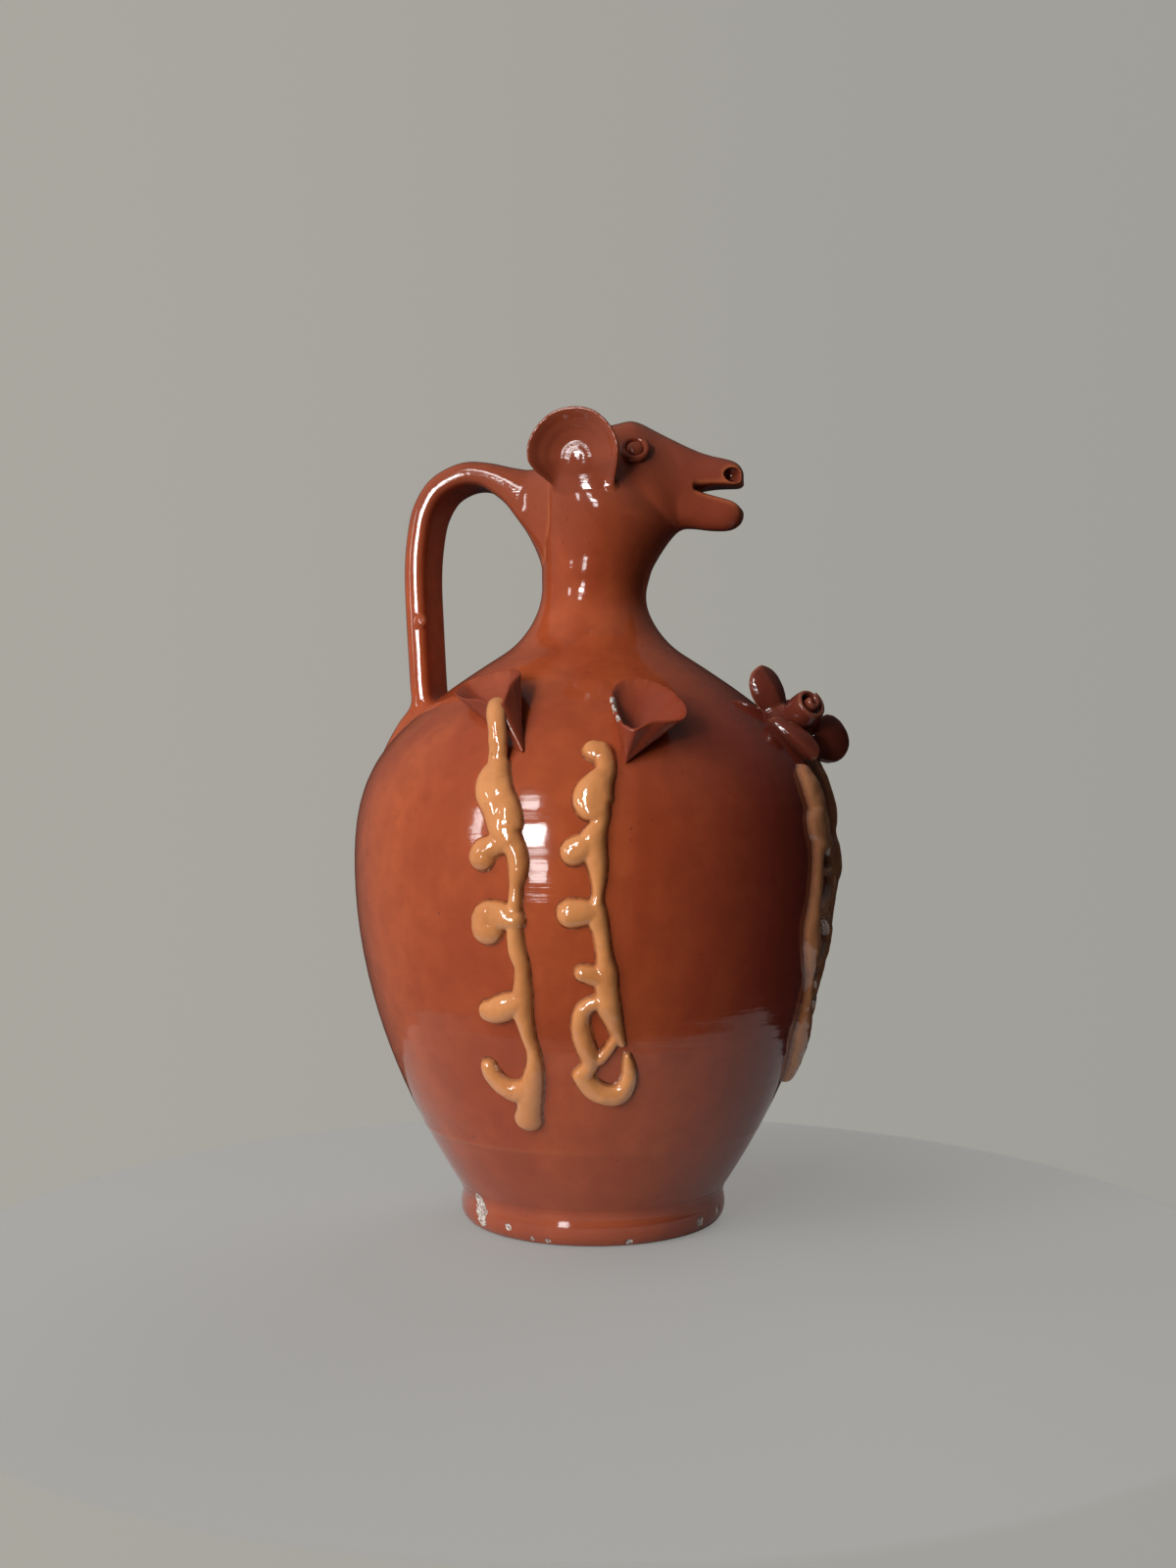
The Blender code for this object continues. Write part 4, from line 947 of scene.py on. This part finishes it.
side_strand = [
    [(-74.3, 174.6, 3.6), (-73.4, 171.7, 3.2), (-73.4, 168.0, 3.2), (-74.9, 164.3, 4.9), (-76.1, 160.0, 6.5),
     (-75.9, 156.3, 5.9), (-74.9, 153.2, 3.6), (-74.8, 151.1, 2.6), (-75.5, 148.4, 3.4), (-76.2, 145.3, 4.3),
     (-75.8, 141.6, 3.7), (-75.3, 137.4, 3.1), (-75.0, 132.5, 2.2), (-75.2, 127.6, 1.6), (-75.5, 124.6, 2.4),
     (-75.3, 120.2, 3.1), (-74.5, 115.3, 2.5), (-74.0, 110.3, 2.3), (-73.6, 106.0, 2.6), (-73.3, 102.2, 3.4),
     (-73.3, 98.4, 3.6), (-73.0, 94.6, 3.4), (-72.8, 90.8, 3.9), (-71.9, 86.9, 3.1), (-71.0, 83.0, 2.4),
     (-70.2, 79.8, 1.8), (-69.4, 77.7, 1.2)],
    [(-75.9, 144.7, 3.7), (-78.6, 142.9, 4.3), (-80.1, 141.6, 4.4)],
    [(-75.5, 122.1, 3.1), (-78.6, 121.8, 4.3), (-80.7, 121.5, 4.7)],
    [(-73.5, 99.7, 3.1), (-76.3, 100.9, 3.1), (-78.3, 101.6, 2.7)],
    [(-73.4, 92.1, 2.5), (-76.3, 91.4, 2.3), (-78.3, 88.9, 2.6), (-79.0, 85.0, 2.9), (-78.7, 80.5, 3.1),
     (-77.8, 75.9, 3.1), (-76.8, 72.3, 2.9), (-77.2, 69.3, 2.7), (-78.8, 66.6, 2.8)],
    [(-70.3, 80.9, 1.5), (-71.6, 77.8, 1.5), (-72.8, 74.9, 1.6), (-74.6, 72.0, 1.9)],
    [(-79.0, 66.3, 2.9), (-76.5, 61.9, 3.5), (-72.5, 59.2, 3.7), (-68.9, 60.3, 3.5), (-67.2, 65.1, 2.5),
     (-67.5, 69.8, 1.9), (-68.0, 73.1, 1.1)],
    [(-75.9, 174.9, 3.7), (-75.3, 174.4, 3.8)],
]
near_flower_strand = [
    [(-13.6, 166.5, 4.6), (-13.4, 163.0, 5.6), (-13.0, 158.0, 5.6), (-12.8, 154.5, 5.4), (-13.2, 151.0, 7.6),
     (-13.2, 147.0, 7.8), (-13.4, 143.5, 6.4), (-14.2, 140.0, 3.6), (-14.6, 135.0, 2.9), (-15.0, 130.0, 2.9),
     (-15.2, 125.0, 3.1), (-15.8, 120.0, 3.5), (-16.2, 115.0, 4.2), (-15.6, 110.0, 4.6), (-13.9, 105.0, 4.7),
     (-12.9, 100.0, 3.6), (-11.6, 95.5, 2.2), (-10.4, 90.0, 2.2), (-9.6, 85.0, 2.7), (-8.2, 80.0, 4.2),
     (-6.6, 75.0, 5.4), (-4.4, 70.0, 5.5), (-2.2, 65.0, 5.2), (-0.4, 60.0, 4.6), (0.6, 57.0, 3.9)],
    [(-8.5, 145.5, 3.0), (-5.5, 140.0, 2.2), (-4.0, 134.5, 2.1), (-3.5, 128.5, 2.3), (-4.8, 123.5, 2.6),
     (-9.0, 119.5, 2.4), (-14.5, 117.5, 2.6)],
    [(-14.0, 133.0, 1.5), (-9.0, 132.0, 1.4), (-4.2, 132.8, 1.5)],
    [(-14.0, 116.5, 2.4), (-8.5, 117.0, 2.2), (-3.8, 114.5, 2.3), (-0.8, 110.5, 2.4), (-0.4, 105.5, 2.4),
     (-3.0, 101.0, 2.4), (-7.0, 98.0, 2.2), (-12.0, 96.5, 2.2)],
    [(-11.4, 95.0, 1.8), (-7.8, 93.6, 1.8), (-5.6, 90.6, 1.8), (-6.0, 88.0, 1.8), (-9.8, 86.4, 2.0)],
    [(-9.0, 86.4, 1.9), (-3.4, 86.0, 1.8), (-0.4, 83.0, 1.9), (-0.2, 79.5, 1.9), (-1.6, 76.0, 2.0),
     (-4.5, 73.0, 2.4)],
]
far_flower_strand = [
    [(5.0, 176.0, 3.0), (6.0, 170.5, 3.8), (7.5, 163.0, 4.4), (8.5, 156.0, 4.4), (9.2, 150.0, 3.4),
     (9.6, 145.8, 2.2), (9.6, 141.0, 4.0), (9.6, 135.5, 5.2), (9.8, 130.5, 4.8), (10.8, 125.0, 3.0),
     (12.5, 118.0, 2.6), (14.0, 110.0, 3.0), (14.5, 102.0, 2.6), (14.2, 94.0, 3.0), (14.6, 86.0, 2.6),
     (15.0, 78.0, 3.2), (15.4, 71.0, 3.4)],
    [(12.8, 120.0, 2.8), (17.5, 119.0, 3.6)], [(14.2, 104.0, 2.6), (18.6, 103.0, 3.8)],
    [(14.5, 88.0, 2.6), (18.6, 87.0, 3.6)], [(15.2, 73.0, 3.0), (19.6, 74.5, 3.4)],
]


def slip_run(places, side, highest):
    """A run of slip along places on the wall, rounded over its width, with round ends."""
    route = smooth_path([(*place, 0.0)[:4] for place in places], 4)
    frames = [wall_frame(side * angle, height / 1000) for angle, height, _, _ in route]
    rings = []
    for i, ((_, _, half, lift), (place, _, _, outwards)) in enumerate(zip(route, frames)):
        half = (half + 0.3) / 1000
        place = place + outwards * lift / 1000
        relief = min(highest, 0.0011 + 0.56 * half)
        along = (frames[min(i + 1, len(route) - 1)][0] - frames[max(i - 1, 0)][0]).normalized()
        across = along.cross(outwards).normalized()
        ends = [(place, 1.0)]
        for last, sign in ((i == 0, -1), (i == len(route) - 1, 1)):
            if last:
                steps = [(0.35, 0.94), (0.65, 0.76), (0.87, 0.49), (0.985, 0.17)]
                round_end = [(place + sign * along * half * far, size) for far, size in steps]
                ends = round_end[::-1] + ends if sign < 0 else ends + round_end
        for middle, size in ends:
            rings.append([
                middle + size * (half * math.cos(turn) * across + relief * math.sin(turn) * outwards)
                for turn in turns_round(20)])
    return ring_mesh("run", rings)


def lie_on_wall(mesh, crown):
    """The slip's surface sags and swells a little, and each point keeps how high it stands."""
    points = coordinates(mesh)
    rise = np.empty(len(points))
    for i, place in enumerate(points):
        point = Vector(place)
        foot, normal, _, _ = wall_tree.find_nearest(point)
        height = (point - foot).dot(normal)
        swell = noise.noise(point / 0.0052) * 0.00032 + noise.noise(point / 0.0021) * 0.00008
        points[i] = point + normal * swell * min(1.0, max(0.0, height / 0.0012))
        rise[i] = height / crown
    note(mesh, "rise", rise)
    move_points(mesh, points)


def slip_glaze():
    """Ochre slip under the glaze: pale on its crown, stained brown where it thins to the red wall, and greyed
    by painted shade towards the jug's front.
    """
    material, tree, shader = new_material("glazed_ochre_slip")
    wander = shared(tree, "kiln_clouds", Size=260.0, Stretch=1.0)["Value"]
    broad = shared(tree, "kiln_clouds", Size=60.0, Stretch=1.0)["Value"]
    rise = node(tree, "ShaderNodeAttribute", attribute_name="rise").outputs["Fac"]
    rise = sums(tree, "MULTIPLY_ADD", wander, 0.16, rise)
    ahead = node(tree, "ShaderNodeSeparateXYZ", inputs={0: own_place(tree)}).outputs[0]
    specks = shared(tree, "iron_specks", Size=520.0, Share=0.16)["Mask"]
    skin = shared(tree, "glaze_skin", Ripple=0.0, Pinholes=0.05)
    colour = blend(tree, broad, (0.530, 0.195, 0.062), (0.620, 0.250, 0.085))
    for share, tint in (
        (between(tree, rise, 0.62, 0.30, 0.0, 0.85), (0.34, 0.110, 0.036)),
        (between(tree, rise, 0.26, 0.06, 0.0, 0.95), (0.105, 0.024, 0.010)),
        # Painted shade: towards the jug's front, on the side turned from the light, the slip is greyed brown.
        (between(tree, ahead, 0.066, 0.088, 0.0, 0.6), (0.240, 0.100, 0.060)),
        (sums(tree, "MULTIPLY", specks, 0.5), (0.16, 0.055, 0.02)),
        (sums(tree, "MULTIPLY", skin["Pinhole"], 0.7), (0.12, 0.04, 0.02)),
    ):
        colour = blend(tree, share, colour, tint)
    fire(tree, shader, colour, between(tree, broad, 0.0, 1.0, 0.05, 0.08), skin["Height"], 0.00007, {
        "Coat Weight": 0.9, "Coat Roughness": 0.035, "Specular IOR Level": 0.8})
    return material


glazes["ochre_slip"] = slip_glaze()
for name, side, runs, highest in (
    ("back_right", 1, back_strand, 0.0036), ("side_right", 1, side_strand, 0.0036),
    ("back_left", -1, back_strand, 0.0036), ("side_left", -1, side_strand, 0.0036),
    ("flower_right", 1, near_flower_strand, 0.0044), ("flower_left", 1, far_flower_strand, 0.0048),
):
    skin = modelled("slip", [slip_run(run, side, highest) for run in runs], 0.00036, 4)
    lute(skin, wall_tree, 0.0008)
    soften(skin, 2)
    lie_on_wall(skin, 0.0034)
    piece_of(f"slip_{name}", skin, "ochre_slip", f"strand_{name}")


# Flower. A lump on the front of the shoulder that carries five thumbed petals and a bud, which is a
# strip of clay rolled up and stood in the middle.

flower_base = wall_frame(0.0, seam_z - 0.0260)[0]
flower_axis = Vector((math.cos(math.radians(38)), 0.0, math.sin(math.radians(38))))
flower_up = Vector((-flower_axis.z, 0.0, flower_axis.x))
flower_across = Vector((0.0, 1.0, 0.0))


def by_the_stem(ahead, out, turn):
    aside = flower_across * math.cos(turn) + flower_up * math.sin(turn)
    return flower_base + flower_axis * ahead + aside * out


stem_line = smooth_path(
    [(-0.0112, 0.0060), (0.0, 0.0060), (0.0035, 0.0052), (0.0062, 0.0042), (0.0068, 0.0026)], 4)
stem_rings = [[by_the_stem(ahead, out, turn) for turn in turns_round(40)] for ahead, out in stem_line]
stem_skin = modelled("stem", [ring_mesh("stem", stem_rings)], 0.0004, 4)
lute(stem_skin, wall_tree, 0.0011)
soften(stem_skin, 3)
mark_crests(stem_skin, 8, 0.00024)
piece_of("flower_lump", stem_skin, "dark_redware", "flower_stem")

# Each petal in millimetres: its middle, half its length and half its width as ways from there, half its
# thickness, and how far it is folded
petals = [
    ((68.9, -1.6, 197.6), (4.6, 1.8, -10.2), (4.6, 4.3, 2.9), 2.8, -2.4),
    ((89.1, 10.2, 180.9), (1.1, 1.2, -9.2), (7.0, 4.3, 1.4), 2.4, -1.3),
    ((78.2, -9.3, 180.8), (8.6, 1.6, -7.2), (2.8, 0.4, 3.8), 2.8, -1.4),
    ((81.0, 16.0, 184.5), (1.8, 4.7, -6.2), (6.2, -0.3, 1.6), 2.2, 1.0),
    ((74.5, 12.0, 190.5), (-2.5, 3.4, 5.3), (5.3, 3.2, 0.3), 2.2, 1.0),
]
flower_tree = skin_tree(outside_skin, stem_skin)
for number, (centre, along, across, thick, fold) in enumerate(petals, 1):
    centre, along, across = Vector(centre) / 1000, Vector(along) / 1000, Vector(across) / 1000
    face = across.cross(along).normalized()
    if face.y > 0:
        face = -face
    root = (centre - flower_base - flower_axis * 0.004).dot(along) > 0
    shape = pressed_in("petal", (0, 0, 0), (0, 0, 1), (1, 1, 1))
    for vert in shape.vertices:
        x, y, z = vert.co
        taper = 1 - 0.30 * (x if not root else -x)
        edge = 1 + 0.035 * noise.noise(Vector((3 * x, 3 * y, number)))
        bend = fold * 0.001 * (abs(y) ** 1.3 + 0.35 * x * x)
        vert.co = (centre + along * x * edge + across * (y * taper ** 0.6 * edge)
                   + face * (z * thick * 0.001 * (1 - 0.25 * x * x) + bend))
    skin = modelled("petal", [shape], 0.00036, 3)
    lute(skin, flower_tree, 0.0012)
    mark_crests(skin, 8, 0.00024)
    piece_of(f"thumbed_petal_{number}", skin, "dark_redware", f"petal_{number}")

bud_foot = flower_base + flower_axis * 0.0064 - flower_up * 0.0022
bud_axis = Vector((0.66, -0.58, 0.48)).normalized()
bud_turn = bud_axis.to_track_quat("Z", "Y")
bud_rings = []
for i in range(141):
    share = i / 140
    turn = 2.6 + 2 * math.pi * 1.7 * share
    out, half = 0.0011 + 0.0057 * share, 0.00105
    top = 0.0100 + 0.0026 * (1.0 - share)
    section = [
        (0.0, out - half), (0.0, out + half), (0.005, out + 1.35 * half), (top - 0.0030, out + 1.25 * half),
        (top - 0.0006, out + 0.8 * half), (top, out + 0.2 * half), (top, out - 0.5 * half),
        (top - 0.0010, out - half),
    ]
    bud_rings.append([bud_foot + bud_turn @ Vector((away * math.cos(turn), away * math.sin(turn), far))
                      for far, away in section])
bud_skin = modelled("bud", [ring_mesh("bud", bud_rings)], 0.00032, 3)
mark_crests(bud_skin, 8, 0.00024)
piece_of("rolled_bud", bud_skin, "dark_redware", "flower_bud")


# Setting. A pale round floor and a pale wall, tall window light from the left with soft light from all
# round, and the camera.

to_camera = Vector((0.242, -0.970, 0.0))
table_middle, table_reach = to_camera * 0.05, 0.26
floor_mesh = bpy.data.meshes.new("floor")
floor_mesh.from_pydata(
    [table_middle + Vector((table_reach * math.cos(turn), table_reach * math.sin(turn), 0.0))
     for turn in turns_round(96)], [], [tuple(range(96))])
floor_material, pale, paint = new_material("floor")
floor_mesh.materials.append(floor_material)
floor = bpy.data.objects.new("floor", floor_mesh)
bpy.context.scene.collection.objects.link(floor)
rays = node(pale, "ShaderNodeLightPath").outputs
own = blend(pale, rays["Is Camera Ray"], (0.45, 0.45, 0.44), (0.20, 0.20, 0.195))
lifted = blend(pale, rays["Is Camera Ray"], (0.0, 0.0, 0.0), (0.205, 0.200, 0.192))
pale.links.new(own, paint.inputs["Base Color"])
pale.links.new(lifted, paint.inputs["Emission Color"])
paint.inputs["Emission Strength"].default_value = 1.0
paint.inputs["Roughness"].default_value = 0.8
# The floor fades out at its rim. Where the glaze mirrors it, it ends nearer in front of the jug
from_middle = vector_sum(pale, "DISTANCE", own_place(pale), tuple(table_middle))
from_behind = vector_sum(pale, "DISTANCE", own_place(pale), tuple(to_camera * -0.12))
gone_in_glaze = sums(pale, "MULTIPLY", rays["Is Glossy Ray"], between(pale, from_behind, 0.270, 0.285))
gone = sums(pale, "MAXIMUM", between(pale, from_middle, 0.229, 0.236), gone_in_glaze)
clear = node(pale, "ShaderNodeBsdfTransparent").outputs[0]
surface = node(pale, "ShaderNodeMixShader", inputs={0: gone, 1: paint.outputs[0], 2: clear}).outputs[0]
pale.links.new(surface, pale.nodes["Material Output"].inputs["Surface"])


def softbox(name, azimuth, elevation, size, radiance, mirrored=True):
    """A lamp round the jug: its angles from the camera's side and from level, as seen from the belly."""
    belly, distance = Vector((0.0, 0.0, 0.15)), 1.6
    turn, rise = math.radians(azimuth), math.radians(elevation)
    flat = to_camera * math.cos(turn) + to_right * math.sin(turn)
    towards = flat * math.cos(rise) + Vector((0, 0, 1)) * math.sin(rise)
    lamp = bpy.data.lights.new(name, "AREA")
    lamp.shape = "RECTANGLE"
    lamp.size, lamp.size_y = size
    lamp.energy = radiance * math.pi * size[0] * size[1]
    obj = bpy.data.objects.new(name, lamp)
    obj.location = belly + towards * distance
    obj.rotation_euler = towards.to_track_quat("Z", "Y").to_euler()
    obj.visible_glossy = mirrored
    bpy.context.scene.collection.objects.link(obj)


softbox("window_top", -30, 24, (0.20, 0.27), 13.0)
softbox("window_middle", -27, 9, (0.29, 0.27), 30.0)
softbox("window_low", -24.5, -3, (0.22, 0.20), 13.0)
softbox("second_window", -54, 12, (0.13, 0.36), 11.0)
softbox("soft_side", -49, 22, (0.8, 1.1), 5.7, mirrored=False)
softbox("soft_top", -75, 60, (1.2, 1.2), 1.5, mirrored=False)
softbox("soft_back", 150, 18, (1.3, 1.3), 3.4, mirrored=False)
world = bpy.data.worlds.new("room")
world.use_nodes = True
room = world.node_tree
looking = node(room, "ShaderNodeTexCoord").outputs["Generated"]
rightwards = vector_sum(room, "DOT_PRODUCT", looking, tuple(to_right))
upwards = node(room, "ShaderNodeSeparateXYZ", inputs={0: looking}).outputs[2]
glow = between(room, rightwards, -0.05, -1.0, 0.014, 0.22)
glow = sums(room, "ADD", glow, between(room, upwards, 0.1, 0.9, 0.0, 0.10))
dim = room.nodes["Background"]
dim.inputs["Color"].default_value = (0.86, 0.86, 0.84, 1.0)
room.links.new(glow, dim.inputs["Strength"])
# Painted light on the wall behind: lighter on the left, towards the window, and darker to the right.
wall = blend(room, between(room, rightwards, -0.40, 0.40), (0.400, 0.385, 0.345), (0.350, 0.345, 0.318))
backdrop = node(room, "ShaderNodeBackground", inputs={"Color": wall, "Strength": 1.0})
seen = node(room, "ShaderNodeLightPath").outputs["Is Camera Ray"]
either = node(room, "ShaderNodeMixShader", inputs={0: seen, 1: dim.outputs[0], 2: backdrop.outputs[0]})
room.links.new(either.outputs[0], room.nodes["World Output"].inputs["Surface"])
bpy.context.scene.world = world

camera = bpy.data.objects.new("camera", bpy.data.cameras.new("camera"))
camera.data.sensor_width = 36
camera.data.lens = 37.37
camera_distance, camera_shift, camera_height = 0.623, -0.0019, 0.1639
camera.location = to_camera * camera_distance + to_right * camera_shift + Vector((0, 0, camera_height))
camera.rotation_euler = to_camera.to_track_quat("Z", "Y").to_euler()
bpy.context.scene.collection.objects.link(camera)
bpy.context.scene.camera = camera
bpy.context.scene.view_settings.view_transform = "Standard"
